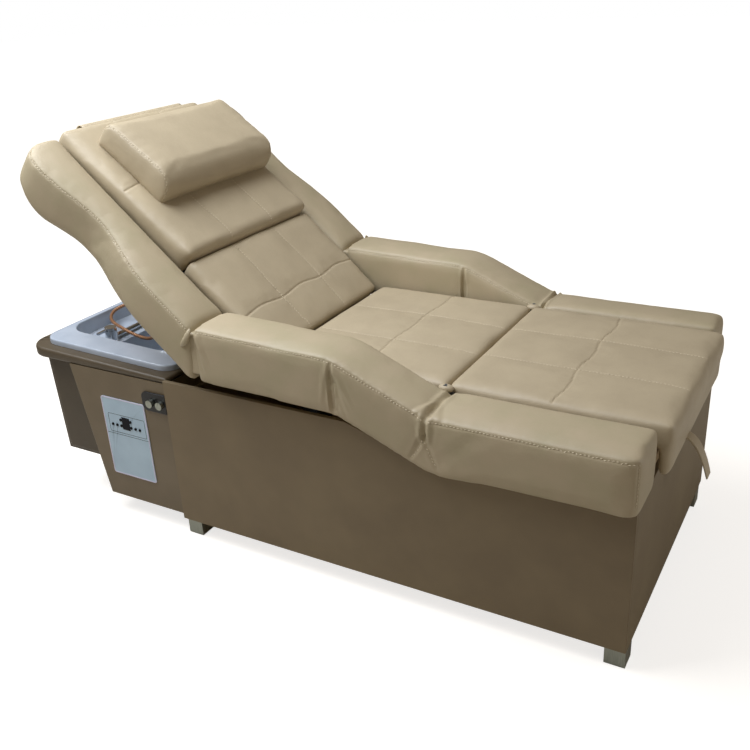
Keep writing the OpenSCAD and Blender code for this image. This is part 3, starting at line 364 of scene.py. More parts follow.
def cutAt(bm, place, way, **more):       # cuts every face on a plane
    bmesh.ops.bisect_plane(bm, geom=bm.verts[:] + bm.edges[:] + bm.faces[:], dist=1e-6, plane_co=place,
                           plane_no=way, **more)


def smoothed(bm, factor):
    bmesh.ops.smooth_vert(bm, verts=bm.verts, factor=factor, use_axis_x=True, use_axis_y=True, use_axis_z=True)


def pointsOf(obj):
    flat = numpy.empty(len(obj.data.vertices) * 3)
    obj.data.vertices.foreach_get("co", flat)
    return flat.reshape(-1, 3)


def placePoints(obj, points):
    obj.data.vertices.foreach_set("co", points.ravel())
    obj.data.update()


def curveThrough(points, step=3.0):      # a smooth line through points, cut every step millimetres
    ends = [points[0] * 2 - points[1]] + list(points) + [points[-1] * 2 - points[-2]]
    line = []
    for a, b, c, d in zip(ends, ends[1:], ends[2:], ends[3:]):
        count = max(1, round((c - b).length * 1000 / step))
        for i in range(count):
            t = i / count
            line.append(0.5 * ((2 * b) + (c - a) * t + (2 * a - 5 * b + 4 * c - d) * t ** 2
                               + (3 * b - 3 * c + d - a) * t ** 3))
    return line + [points[-1]]


def straightThrough(points, step=3.0):
    line = []
    for a, b in zip(points, points[1:]):
        count = max(1, round((b - a).length * 1000 / step))
        line += [a.lerp(b, i / count) for i in range(count)]
    return line + [points[-1]]


def lengthOf(line):
    return sum((b - a).length for a, b in zip(line, line[1:]))


def surfaceOf(obj):
    bm = bmesh.new()
    bm.from_mesh(obj.data)
    tree = BVHTree.FromBMesh(bm)
    bm.free()
    return tree


def laidOn(tree, line):      # the line moved to the surface, with the normals there
    found = [tree.find_nearest(p) for p in line]
    return [(f[0], f[1]) for f in found if f[0] is not None]


def treeOf(points):
    tree = kdtree.KDTree(len(points))
    for i, p in enumerate(points):
        tree.insert(p, i)
    tree.balance()
    return tree


def bell(x):
    return math.exp(-x * x)


def mix(ends, share):
    return ends[0] + (ends[1] - ends[0]) * share


# Leather form: a block as large as the CAD solid, remeshed in voxels and padded by a cloth simulation
# with its seams held
leatherWork = {
    "voxel": 7.0, "smooth": 5, "frames": 20, "heldReach": 9, "heldDrop": 0.6, "puckerLength": 17,
    "creep": 0.7, "creepLength": 85, "evenings": 12,
}
clothSettings = {
    "quality": 4, "mass": 0.4, "tension_stiffness": 25, "compression_stiffness": 25, "shear_stiffness": 12,
    "bending_stiffness": 3, "shrink_min": -0.002, "use_pressure": True, "uniform_pressure_force": 1.6,
    "vertex_group_mass": "held", "pin_stiffness": 2,
}
softPieces = []


def leatherForm(name, bm, mat, seams, cap, work=None):
    work = dict(leatherWork, **(work or {}))
    obj = newObject(name, bm, mat)
    remesh = obj.modifiers.new("voxels", "REMESH")
    remesh.mode, remesh.voxel_size = "VOXEL", work["voxel"] / 1000
    applied(obj)
    bm = bmesh.new()
    bm.from_mesh(obj.data)
    for number in range(work["smooth"]):
        smoothed(bm, 0.5)
    bmesh.ops.recalc_face_normals(bm, faces=bm.faces)
    bm.to_mesh(obj.data)
    bm.free()
    softPieces.append({"obj": obj, "seams": seams, "cap": cap / 1000, "work": work, "start": pointsOf(obj)})
    return softPieces[-1]


def evenOut(obj, times):      # smooth forward and back, which takes out ripples and keeps the volume
    bm = bmesh.new()
    bm.from_mesh(obj.data)
    for number in range(times):
        for factor in (0.5, -0.35):
            smoothed(bm, factor)
    bm.to_mesh(obj.data)
    bm.free()


def padAll(pieces):          # one run of the clock for all the cushions together
    scene = bpy.context.scene
    for piece in pieces:
        obj, held = piece["obj"], piece["obj"].vertex_groups.new(name="held")
        seamTree = treeOf([p for seam in piece["seams"] for p in seam["line"]])
        for v in obj.data.vertices:
            gap = seamTree.find(v.co)[2] * 1000
            if gap < leatherWork["heldReach"]:
                held.add([v.index], 1 - leatherWork["heldDrop"] * gap / leatherWork["heldReach"], "REPLACE")
            elif piece["work"].get("rest") and v.normal.dot(piece["work"]["rest"]) > 0.7:
                held.add([v.index], 1, "REPLACE")
        cloth = obj.modifiers.new("padding", "CLOTH")
        for key, value in clothSettings.items():
            setattr(cloth.settings, key, value)
        cloth.settings.effector_weights.gravity = 0
        cloth.collision_settings.use_collision = False
    for number in range(1, leatherWork["frames"] + 1):
        scene.frame_set(number)
    for piece in pieces:
        obj = applied(piece["obj"])
        obj.vertex_groups.clear()
        moved = pointsOf(obj) - piece["start"]
        length = numpy.linalg.norm(moved, axis=1, keepdims=True)
        placePoints(obj, piece["start"] + moved * numpy.minimum(1, piece["cap"] / numpy.maximum(length, 1e-9)))
        evenOut(obj, piece["work"]["evenings"])
    scene.frame_set(1)


def refine(obj, levels=1):   # Catmull-Clark steps, so seams and folds have points to bend
    modifier = obj.modifiers.new("rounding", "SUBSURF")
    modifier.levels = modifier.render_levels = levels
    applied(obj)


def sewAndCrease(piece):     # grooves at the seams, puckers beside them, folds and slow unevenness
    obj, work = piece["obj"], piece["work"]
    tree = surfaceOf(obj)
    samples, owners = [], []
    for seam in piece["seams"]:
        laid = [p for p, n in laidOn(tree, seam["line"])]
        for i, p in enumerate(laid):
            samples.append(p)
            owners.append((seam, i))
    seamTree = treeOf(samples)
    points = pointsOf(obj)
    for v in obj.data.vertices:
        index, gap = seamTree.find(v.co)[1:]
        seam, number = owners[index]
        gap *= 1000
        lift = -seam["depth"] * bell(gap / seam["width"])
        reach = seam["reach"]
        if gap < 3 * reach:
            rank = number * 3.0 / work["puckerLength"]
            wave = noise.noise(Vector((rank, gap / 60, 7.3 * (index - number) % 50)))
            lift += 2 * seam["pucker"] * wave * bell((gap - 0.5 * reach) / reach)
        slow = noise.noise(v.co * (1000 / work["creepLength"]) + Vector((3.1, 8.2, 1.7)))
        lift += work["creep"] * slow
        for fold in piece.get("folds", []):
            lift += foldLift(fold, v.co)
        points[v.index] += numpy.array(v.normal) * lift / 1000
    placePoints(obj, points)


def foldLift(fold, p):       # a ridge or groove along a line that fades at its ends
    a, b = fold["from"], fold["to"]
    run = b - a
    t = (p - a).dot(run) / run.length_squared
    if t < -0.3 or t > 1.3:
        return 0
    bow = fold.get("bow", Vector((0, 0, 0))) * math.sin(math.pi * max(0, min(1, t)))
    gap = (p - a - run * t - bow).length * 1000
    width = fold["width"] * (1 - fold.get("taper", 0.5) * max(0, min(1, t)))
    if gap > 4 * width:
        return 0
    fade = bell(max(0, -t, t - 1) / 0.15) * (1 - fold.get("fade", 0.6) * max(0, min(1, t)))
    side = gap / width
    return fold["lift"] * fade * (bell(side) - 0.35 * bell((side - 1.6) / 0.8))


stitch = {"length": 7.0, "pitch": 8.4, "radius": 1.1, "sink": 0.1}


def sewStitches(name, obj, lines, body):
    tree = surfaceOf(obj)
    bm = bmesh.new()
    for line in lines:
        laid = laidOn(tree, line)
        run, due = 0.0, stitch["pitch"] / 2
        for (p, n), (q, m) in zip(laid, laid[1:]):
            step = (q - p).length * 1000
            while run + step > due:
                at = p.lerp(q, (due - run) / step) + n * stitch["sink"] / 1000
                way = (q - p).normalized()
                side = n.cross(way).normalized()
                turn = Matrix((way, side, way.cross(side))).transposed().to_4x4()
                half = (stitch["length"] / 2000, stitch["radius"] / 1000, stitch["radius"] / 1250, 1)
                bmesh.ops.create_icosphere(bm, subdivisions=1, radius=1,
                                           matrix=Matrix.Translation(at) @ turn @ Matrix.Diagonal(half))
                due += stitch["pitch"]
            run += step
    made = newObject(name, bm, thread)
    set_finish(made, obj["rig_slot"])
    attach(made, body)
    return made


# Seams: each is a line near the surface that it is sewn on
longSeam = {"depth": 1.3, "width": 2.6, "pucker": 0.2, "reach": 16, "stitched": True}
crossSeam = {"depth": 2.2, "width": 3.0, "pucker": 0.5, "reach": 20}


def fieldSeams(place, x0, x1, cross, level, half, thirds=92, bowed=4):
    seams = []
    for y in (-thirds, thirds):          # the long seams wander a little
        line = [place(x0 + (x1 - x0) * i / 8, y + 2.5 * math.sin(0.9 * i + y), level) for i in range(9)]
        seams.append(dict(longSeam, line=curveThrough(line)))
    for x in cross:                      # the cross seam is drawn deeper and bows between them
        line = []
        for i in range(-12, 13):
            y = half * i / 12
            line.append(place(x + bowed * math.cos(math.pi * y / thirds), y, level))
        seams.append(dict(crossSeam, line=curveThrough(line)))
    return seams


def blockForm(cuts, shape):  # a cube cut into slices, each point then put in place by shape(t, across, rise)
    bm = bmesh.new()
    bmesh.ops.create_cube(bm, size=1)
    bmesh.ops.translate(bm, verts=bm.verts, vec=(0.5, 0.5, 0.5))
    for axis, count in enumerate(cuts):
        for i in range(1, count):
            spot, way = [0, 0, 0], [0, 0, 0]
            spot[axis], way[axis] = i / count, 1
            cutAt(bm, spot, way)
    for v in bm.verts:
        v.co = shape(*v.co)
    bmesh.ops.recalc_face_normals(bm, faces=bm.faces)
    return bm


def hump(share):             # 0 at both ends of a field and 1 in its middle
    f = 2 * share - 1
    return 1 - f * f


def padBlock(place, size):
    def shape(t, across, rise):
        half = size["half"] - size["draw"] * (1 - hump(t))
        puff = size["puff"] * hump(t) * hump(across)
        puff += size["fields"] * hump(across * 3 % 1)
        top = mix(size["top"], t) + puff
        return place(mix(size["run"], t), half * (2 * across - 1), mix((size["low"], top), rise))
    bm = blockForm((14, 15, 3), shape)
    edges = [e for e in bm.edges if e.calc_face_angle(0) > 1]
    bmesh.ops.bevel(bm, geom=edges, offset=size["round"] / 1000, segments=4, profile=0.5, affect="EDGES",
                    material=-1)
    return bm


seatSize = {"run": (289, 760), "half": 276, "draw": 2, "low": 498, "top": (558, 558),
            "puff": 3, "fields": 1.5, "round": 9}
lidSize = dict(seatSize, run=(763, 1265))
backSize = dict(seatSize, run=(49, 370), half=274, draw=3, low=0, top=(50, 56))
headSize = dict(backSize, run=(372, 858), low=-3, top=(78, 51), puff=2, round=10)
apronSize = {"run": (1234, 1261), "half": 270, "rise": (431, 505)}


def lidBlock():              # the lid cushion with the apron that hangs over the foot panel
    bm = padBlock(bedPoint, lidSize)
    a = apronSize
    apron = blockForm((2, 14, 4), lambda t, across, rise: bedPoint(
        mix(a["run"], t), a["half"] * (2 * across - 1), mix(a["rise"], rise)))
    mesh = bpy.data.meshes.new("apron")
    apron.to_mesh(mesh)
    apron.free()
    bm.from_mesh(mesh)
    return bm


pillowSize = {"run": (540, 787), "sides": (-214, 256), "low": (64, 54), "top": (158, 134), "puff": 2,
              "frontRound": 56, "rearRound": 24,
              "arch": [(541, 80), (541, 106), (551, 131), (570, 146), (600, 151), (673, 144), (735, 139),
                       (766, 132), (783, 116), (787, 92)]}


def pillowBlock():           # the pillow without its flap, which is a sheet of its own
    k = pillowSize

    def corner(gap, radius):     # how far a rounded edge lies below its flat this far in from the end
        return radius - math.sqrt(max(0, radius ** 2 - max(0, radius - gap) ** 2))

    def shape(t, across, rise):
        u = mix(k["run"], t)
        top = mix(k["top"], t) + k["puff"] * hump(t) * hump(across)
        top -= corner(u - k["run"][0], k["frontRound"]) + corner(k["run"][1] - u, k["rearRound"])
        return backPoint(u, mix(k["sides"], across), mix((mix(k["low"], t), top), rise))
    return blockForm((48, 8, 5), shape)


restDown = {"rest": Vector((0, 0, -1))}
seatForm = leatherForm("seatLeather", padBlock(bedPoint, seatSize), padLeather, fieldSeams(
    bedPoint, 297, 752, [531], 562, 268), 2.5, restDown)
lidForm = leatherForm("lidLeather", lidBlock(), padLeather, fieldSeams(
    bedPoint, 771, 1256, [1010], 562, 268, bowed=5), 2.5, restDown)
backForm = leatherForm("backLeather", padBlock(backPoint, backSize), padLeather, fieldSeams(
    backPoint, 57, 362, [169], 60, 266), 2.5)
headForm = leatherForm("headLeather", padBlock(backPoint, headSize), padLeather, fieldSeams(
    backPoint, 380, 850, [622], 66, 266), 2)


archSeam = {"depth": 1.2, "width": 2.4, "pucker": 0.05, "reach": 12, "stitched": True}
pillowEnds = [dict(archSeam, line=curveThrough([backPoint(u, y, n) for u, n in pillowSize["arch"]]))
              for y in pillowSize["sides"]]
pillowForm = leatherForm("pillowLeather", pillowBlock(), padLeather, pillowEnds, 2.5,
                         {"evenings": 8, "smooth": 3})
print("pads shaped")


# Side covers: one cover over arm, slope and foot rail, split later where it hinges
coverSize = {
    "from": 157, "knee": 549, "valley": 781, "to": 1241, "top": (656, 645, 545), "low": (516, 498, 404, 428),
    "lowValley": 792, "lowKnee": 556, "kneeSoft": 34, "valleySoft": 10, "lowSoft": 30, "corner": 26, "crown": 3,
    "railRise": 12,           # the rail slopes up to the lid
    "out": 428, "seam": (162, 1232), "seamDrop": 7,
}


def along3(x, kinks, values):            # a profile of straight runs
    for x0, x1, a, b in zip(kinks, kinks[1:], values, values[1:]):
        if x <= x1:
            return a + (b - a) * (x - x0) / (x1 - x0)
    return values[-1]


def eased(x, kinks, values, soft):       # the same with its kinks eased over this length
    return sum(along3(x + soft * i / 5, kinks, values) for i in range(-5, 6)) / 11


def coverTop(x):
    c = coverSize
    soft = c["kneeSoft"] if x < 660 else c["valleySoft"]
    return eased(x, (c["from"] - 99, c["knee"], c["valley"], 2000),
                 (c["top"][0] + 3, c["top"][1], c["top"][2], c["top"][2]), soft)


def coverLow(x):
    c = coverSize
    return eased(x, (c["from"] - 99, c["lowKnee"], c["lowValley"], 2000), c["low"], c["lowSoft"])


def coverOut(x):                         # half width at the outer face, with the upright corner at the foot
    c = coverSize
    over = max(0, (x - c["to"] + c["corner"]) / c["corner"])
    return c["out"] - c["corner"] * (1 - math.sqrt(max(0, 1 - min(1, over) ** 2)))


def coverBlock(side):
    c = coverSize

    def shape(t, across, rise):
        x = c["from"] + 2 + (c["to"] - c["from"] - 4) * t
        y = bed["sideIn"] + 2 + (coverOut(x) - bed["sideIn"] - 2) * across
        low, top = coverLow(x), coverTop(x) + c["crown"] * hump(across)
        top += c["railRise"] * (1 - across) * min(1, max(0, (x - c["valley"]) / 30))
        return bedPoint(x, side * y, low + (top - low) * rise)
    return blockForm((72, 6, 7), shape)


def onCover(side, out):                  # a seam along the cover, just under its top edge
    x0, x1 = coverSize["seam"]
    count = round((x1 - x0) / 22)
    line = []
    for i in range(count + 1):
        x = x0 + (x1 - x0) * i / count
        line.append(bedPoint(x, side * (min(out, coverOut(x) + 2)), coverTop(x) - coverSize["seamDrop"]))
    return line


wingSize = {"in": 287, "soft": 60, "kinks": (0, 400, 570, 725, 900), "half": (430, 430, 380, 417, 417),
            "plan": (0, 400, 580, 725, 900), "planHalf": (430, 430, 392, 417, 417),
            "deepKinks": (0, 400, 560, 640, 735, 800, 900), "deep": (1.12, 1.16, 1.2, 1.4, 1.75, 1.2, 1.1),
            "deepSoft": 30, "seam": (168, 790, 30), "seamLevel": 39, "cuts": (220, 840, 20),
            "tip": [(811, 408), (834, 385), (843, 352), (844, 300)]}


def wingOut(u, soft):        # half width at the outer face of a wing, with the kinks of its plan eased
    return eased(u, wingSize["kinks"], wingSize["half"], soft)


def wingSeamLine(side):
    plan = [(u, wingOut(u, wingSize["soft"])) for u in range(*wingSize["seam"])] + wingSize["tip"]
    return curveThrough([backPoint(u, side * y, wingSize["seamLevel"]) for u, y in plan])


def wingBlock(node):         # the CAD wing, its outer face swept through the eased plan
    bm = copyOf(node)
    ahead = (backPoint(1000, 0, 0) - backPoint(0, 0, 0)).normalized()
    for u in range(*wingSize["cuts"]):
        cutAt(bm, backPoint(u, 0, 0), ahead)
    up = (backPoint(0, 0, 1000) - backPoint(0, 0, 0)).normalized()
    k = wingSize
    for v in bm.verts:
        arm = v.co - backPoint(0, 0, 0)
        u, n = arm.dot(ahead) * 1000, arm.dot(up) * 1000
        reach = (abs(v.co.y) * 1000 - k["in"]) / (along3(u, k["plan"], k["planHalf"]) - k["in"])
        y = k["in"] + reach * (wingOut(u, k["soft"]) - k["in"])
        v.co.y = math.copysign(y / 1000, v.co.y)
        if n < 0:                # the lower edge hangs deeper towards the head
            v.co += up * n * (eased(u, k["deepKinks"], k["deep"], k["deepSoft"]) - 1) / 1000
    return bm


edgeSeam = {"depth": 1.3, "width": 2.4, "pucker": 0.1, "reach": 16, "stitched": True}
bothSides = (("near", -1), ("far", 1))
sideForms = {}
for sideName, side in bothSides:
    o = side * bed["sideFace"]
    seamLines = [
        curveThrough(onCover(side, bed["sideFace"])), curveThrough(onCover(side, bed["sideIn"])),
        curveThrough([bedPoint(1236, side * 421, z) for z in range(538, 428, -11)]),
        straightThrough([bedPoint(777, o, 492), bedPoint(745, o, 444)]),
        straightThrough([bedPoint(775, o, 494), bedPoint(806, o, 430)]),
    ]
    cover = leatherForm("coverLeather_" + sideName, coverBlock(side), sideLeather,
                        [dict(edgeSeam, line=line) for line in seamLines], 3, {"smooth": 4})
    wing = leatherForm("wingLeather_" + sideName, wingBlock("wing_" + sideName), sideLeather,
                       [dict(edgeSeam, line=wingSeamLine(side))], 2.5, {"smooth": 4})
    sideForms[sideName] = {"cover": cover, "wing": wing}

    # Folds: the valley at the foot rail, the puckers below it, the slack leather at the wing and the knee
    cover["folds"] = [
        {"from": bedPoint(783, side * 285, 548), "to": bedPoint(781, side * 431, 548),
         "width": 8 if side < 0 else 5, "lift": -8, "fade": 0, "taper": 0},
        {"from": bedPoint(781, o, 546), "to": bedPoint(776, o, 492), "width": 7, "lift": -5, "taper": 0.4},
        {"from": bedPoint(776, o, 500), "to": bedPoint(742, o, 440), "width": 7, "lift": -3.2, "taper": 0.2},
        {"from": bedPoint(778, o, 500), "to": bedPoint(806, o, 432), "width": 7, "lift": -3.2, "taper": 0.2},
        {"from": bedPoint(768, o, 520), "to": bedPoint(772, o, 470), "width": 7, "lift": 3.0},
        {"from": bedPoint(790, o, 524), "to": bedPoint(788, o, 470), "width": 8, "lift": 2.6},
        {"from": bedPoint(549, o, 622), "to": bedPoint(549, o, 520), "width": 5, "lift": -4.5, "fade": -0.5,
         "taper": 0},
        {"from": bedPoint(562, o, 610), "to": bedPoint(600, o, 540), "width": 9, "lift": 2.2},
        {"from": bedPoint(558, o, 586), "to": bedPoint(585, o, 512), "width": 8, "lift": -2.0},
        {"from": bedPoint(536, o, 606), "to": bedPoint(520, o, 536), "width": 9, "lift": 1.6},
        {"from": bedPoint(172, o, 634), "to": bedPoint(196, o, 580), "width": 11, "lift": 3.4},
        {"from": bedPoint(166, o, 606), "to": bedPoint(182, o, 548), "width": 8, "lift": -3.0},
        {"from": bedPoint(549, side * 286, 628), "to": bedPoint(549, side * 286, 520), "width": 5, "lift": -4.5,
         "fade": -0.5, "taper": 0},
    ]
    if side < 0:
        cover["folds"] += [
            {"from": bedPoint(757, -425, 556), "to": bedPoint(779, -345, 549), "width": 7, "lift": 2.4},
            {"from": bedPoint(806, -420, 546), "to": bedPoint(786, -350, 546), "width": 8, "lift": 2.2},
        ]
print("side covers shaped")

padAll(softPieces)
print("padding simulated")
for piece in softPieces:
    refine(piece["obj"])
    sewAndCrease(piece)
print("seams and folds made")


def finishSoft(piece, slotName, body, nodes):
    obj = piece["obj"]
    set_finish(obj, slotName)
    lines = [seam["line"] for seam in piece["seams"] if seam.get("stitched")]
    if lines:
        sewStitches(obj.name + "_stitches", obj, lines, body)
    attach(obj, body)
    if nodes:
        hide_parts(*nodes)


def sliced(mesh, x0, x1, inset=0.0):     # the part of a cover between two upright planes, closed at its cuts
    bm = bmesh.new()
    bm.from_mesh(mesh)
    if inset:
        for v in bm.verts:
            v.co -= v.normal * inset / 1000
    for x, sign in ((x0, -1), (x1, 1)):
        if x is not None:
            cutAt(bm, bedPoint(x, 0, 0), (sign, 0, 0), clear_outer=True)
    bmesh.ops.holes_fill(bm, edges=[e for e in bm.edges if e.is_boundary], sides=0)
    bmesh.ops.recalc_face_normals(bm, faces=bm.faces)
    return bm


def sharpCuts(obj):          # the cut faces stay flat, the leather round them smooth
    obj.data.set_sharp_from_angle(angle=math.radians(50))
    return obj


def slackLeather(obj, slotName="side_leather"):
    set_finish(obj, slotName)
    return obj


kneeSlit = {"at": 549, "open": 3.0, "reach": 16, "below": 24, "fade": 36, "tuck": 4.0}


def openSlit(bm, side):      # the outer and the inner leather draw back from the hinge below the seam
    k = kneeSlit
    for v in bm.verts:
        x, y = v.co.x * 1000 + bed["middle"] - k["at"], abs(v.co.y) * 1000
        level = coverTop(k["at"]) - k["below"] - v.co.z * 1000
        if level > 0 and abs(x) < 3 * k["reach"] and (y > 385 or y < 325):
            amount = bell(x / k["reach"]) * min(1, level / k["fade"])
            v.co.x += math.copysign(k["open"] / 1000, x if x else side) * amount
            v.co.y += (1 if y < 325 else -1) * math.copysign(k["tuck"] / 1000, v.co.y) * amount


finishSoft(seatForm, "pad_leather", "base", ["seat_cushion"])
finishSoft(lidForm, "pad_leather", "leg_lid", ["lid_cushion"])
finishSoft(backForm, "pad_leather", "backrest", ["back_cushion"])
finishSoft(headForm, "pad_leather", "head_panel", ["head_panel"])
finishSoft(pillowForm, "pad_leather", "pillow", ["pillow"])
for sideName, forms in sideForms.items():
    finishSoft(forms["wing"], "side_leather", "backrest", ["wing_" + sideName])
    cover = forms["cover"]
    knee, valley = coverSize["knee"], coverSize["valley"]
    parts = {
        "arm": (None, knee, "arm_" + sideName, "arm_" + sideName),
        "slope": (knee, valley, "slope_" + sideName, "slope_" + sideName),
        "rail": (valley, None, "base", "rail_cushions"),
    }
    for partName, (x0, x1, body, node) in parts.items():
        bm = sliced(cover["obj"].data, x0, x1)
        openSlit(bm, 1 if x0 == knee else -1)
        part = sharpCuts(newObject(partName + "Leather_" + sideName, bm, sideLeather))
        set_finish(part, "side_leather")
        low = bedPoint(x0 + 2, 0, 0).x if x0 else -9
        high = bedPoint(x1 - 2, 0, 0).x if x1 else 9
        lines = [[p for p in seam["line"] if low < p.x < high] for seam in cover["seams"]]
        sewStitches(part.name + "_stitches", part, [line for line in lines if len(line) > 1], body)
        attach(part, body)
        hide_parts(node)
    # Leather gussets behind the joints, so that a reclined bed shows leather there
    inside = slackLeather(sharpCuts(newObject(
        "valleyGusset_" + sideName, sliced(cover["obj"].data, 750, 815, 2.5), sideLeather)))
    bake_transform(inside)
    inside = slackLeather(sharpCuts(newObject(
        "kneeGusset_" + sideName, sliced(cover["obj"].data, 520, 578, 4.5), sideLeather)))
    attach(inside, "arm_" + sideName)
    bpy.data.objects.remove(cover["obj"])

# The fold of leather between wing and arm: it opens as the backrest goes down
wingFold = {"run": (138, 174), "across": (293, 424), "low": 532, "top": 648, "dip": 6}
for sideName, side in bothSides:
    def foldShape(t, across, rise, side=side, w=wingFold):
        return bedPoint(mix(w["run"], t), side * mix(w["across"], across),
                        mix((w["low"], w["top"] - w["dip"] * hump(t)), rise))
    fold = newObject("wingGusset_" + sideName, blockForm((9, 10, 8), foldShape), sideLeather)
    refine(fold, 2)
    slackLeather(fold)
    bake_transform(fold)

# A tuck of slack leather where each wing meets its arm
tuckSize = {"radius": 8.5, "flat": 0.7,
            "path": [(154, 425, 655), (152, 431, 644), (147, 434, 632), (137, 434, 619), (122, 430, 606)]}
for sideName, side in bothSides:
    tuckLine = curveThrough([bedPoint(x, side * y, z) for x, y, z in tuckSize["path"]], 2.5)
    bm = bmesh.new()
    bmesh.ops.create_uvsphere(bm, u_segments=20, v_segments=24, radius=1)
    for v in bm.verts:
        i = min(len(tuckLine) - 2, int((v.co.z + 1) / 2 * (len(tuckLine) - 1)))
        way = (tuckLine[i + 1] - tuckLine[i]).normalized()
        across = way.cross(Vector((0, 1, 0))).normalized()
        out = way.cross(across)
        place = tuckLine[i].lerp(tuckLine[i + 1], (v.co.z + 1) / 2 * (len(tuckLine) - 1) - i)
        v.co = place + tuckSize["radius"] / 1000 * (v.co.x * across + tuckSize["flat"] * v.co.y * out)
    bmesh.ops.recalc_face_normals(bm, faces=bm.faces)
    tuck = slackLeather(newObject("leatherTuck_" + sideName, bm, sideLeather))
    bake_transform(tuck)

# The corners of seat and lid: a cap of leather over each hinge ear
capSize = {"middle": (761.5, 279.5, 548.5), "half": (18.62, 12.35, 9.8)}
for sideName, side in bothSides:
    bm = bmesh.new()
    bmesh.ops.create_uvsphere(bm, u_segments=28, v_segments=16, radius=1)
    for v in bm.verts:
        x, y, z = (m + h * c for m, h, c in zip(capSize["middle"], capSize["half"], v.co))
        v.co = bedPoint(x, side * y, z)
    bmesh.ops.recalc_face_normals(bm, faces=bm.faces)
    cap = slackLeather(newObject("hingeCap_" + sideName, bm, padLeather), "pad_leather")
    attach(cap, "leg_lid")

def bandAlong(name, line, wide, thick, offset, cuts, twist=0):   # a band of leather laid along a line
    bm = bmesh.new()
    bmesh.ops.create_grid(bm, x_segments=len(line) - 1, y_segments=cuts, size=0.5)
    for v in bm.verts:
        number = round((v.co.x + 0.5) * (len(line) - 1))
        turned = twist * math.sin(3 * number / len(line))
        v.co = line[number] + Vector((turned * v.co.y / 1000, v.co.y * wide / 1000, 0))
    band = newObject(name, bm, padLeather)
    modifier = band.modifiers.new("thick", "SOLIDIFY")
    modifier.thickness, modifier.offset = thick / 1000, offset
    return band


# The pillow's flap: a sheet of leather over the head end of the panel
flapSize = {"wide": 398, "thick": 2.4,
            "path": [(764, 62), (792, 55), (846, 51), (861, 46), (866, 36), (866, 2)]}
flapLine = curveThrough([backPoint(u, 0, n) for u, n in flapSize["path"]], 4.0)
flap = applied(bandAlong("pillowFlap", flapLine, flapSize["wide"], flapSize["thick"], 1, 40))
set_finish(flap, "pad_leather")
lengthOf(flapLine)
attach(flap, "pillow")

# Pull strap: a folded band of leather, stitched at both edges, with its end turned up
strapSize = {"y": -107, "wide": 34, "thick": 3.4, "twist": 1.5, "edge": 1.1, "seams": (-13, 13),
             "path": [(1259, 456), (1270, 451), (1282, 440), (1293, 423), (1302, 403), (1309, 383),
                      (1315, 363)]}
strapLine = curveThrough([bedPoint(x, strapSize["y"], z) for x, z in strapSize["path"]], 3.0)
strap = bandAlong("strapLeather", strapLine, strapSize["wide"], strapSize["thick"], 0, 8, strapSize["twist"])
bevel = strap.modifiers.new("edges", "BEVEL")
bevel.width, bevel.segments = strapSize["edge"] / 1000, 3
applied(strap)
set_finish(strap, "pad_leather")
strapEdges = [[p + Vector((0, y / 1000, 0)) for p in strapLine[2:-2]] for y in strapSize["seams"]]
sewStitches("strapStitches", strap, strapEdges, "leg_lid")
lengthOf(strapLine)
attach(strap, "leg_lid")
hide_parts("pull_strap")
print("soft pieces placed")

# Shower hose: it leaves the outlet on the ledge, arcs over the near rim and lies across the bowl
hoseSize = {"diameter": 10}
hoseRoute = [
    (-364, 0, -24), (-364, 0, -14), (-369, -3, -2), (-384, -10, 6), (-408, -24, 9), (-432, -42, 7),
    (-449, -64, 1), (-456, -88, -6), (-447, -112, -12), (-426, -132, -16), (-396, -148, -17),
    (-360, -160, -18), (-320, -169, -22), (-278, -175, -25), (-242, -181, -22), (-212, -190, -11),
    (-188, -202, 5), (-170, -212, 16), (-160, -215, 19), (-150, -215, 19),
]
route = curveThrough([rimPoint(*p) for p in hoseRoute], 4.0)
hoseCurve = bpy.data.curves.new("hose", "CURVE")
hoseCurve.dimensions = "3D"
hoseCurve.bevel_depth = hoseSize["diameter"] / 2000
hoseCurve.bevel_resolution = 4
hoseCurve.use_fill_caps = True
spline = hoseCurve.splines.new("POLY")
spline.points.add(len(route) - 1)
for point, place in zip(spline.points, route):
    point.co = (*place, 1)
hoseCurve.materials.append(hoseMetal)
hose = linked("showerHose", hoseCurve)
hoseLength = lengthOf(route)
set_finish(hose, "copper_hose")
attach(hose, "base")
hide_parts("spray_hose")
print("hose laid,", round(hoseLength, 3), "m")

# Hard parts: merged copies with their edges eased, or the CAD node with its finish
easing = {
    "side_panels": (1.5, panelCloth), "end_panels": (1.5, panelCloth), "basin_housing": (3.0, shellAbs),
    "rear_housing": (6.0, rearAbsPaintedShade), "housing_rim": (9.0, rimAbsPaintedShade), "basin_bowl": (2.5, basinWhite),
    "feet": (1.2, steel), "knob_bezel": (1.6, blackAbs), "control_plate": (0.6, plateFilm),
    "shower_holder": (1.5, shellAbs), "mixer_body": (1.2, chrome), "mixer_lever": (1.5, chrome),
    "hand_shower": (1.5, chrome), "hot_knob": (1.0, steel), "cold_knob": (1.0, steel),
    "display_window": (0.4, displayGlass), "drain_strainer": (0.5, chrome),
}


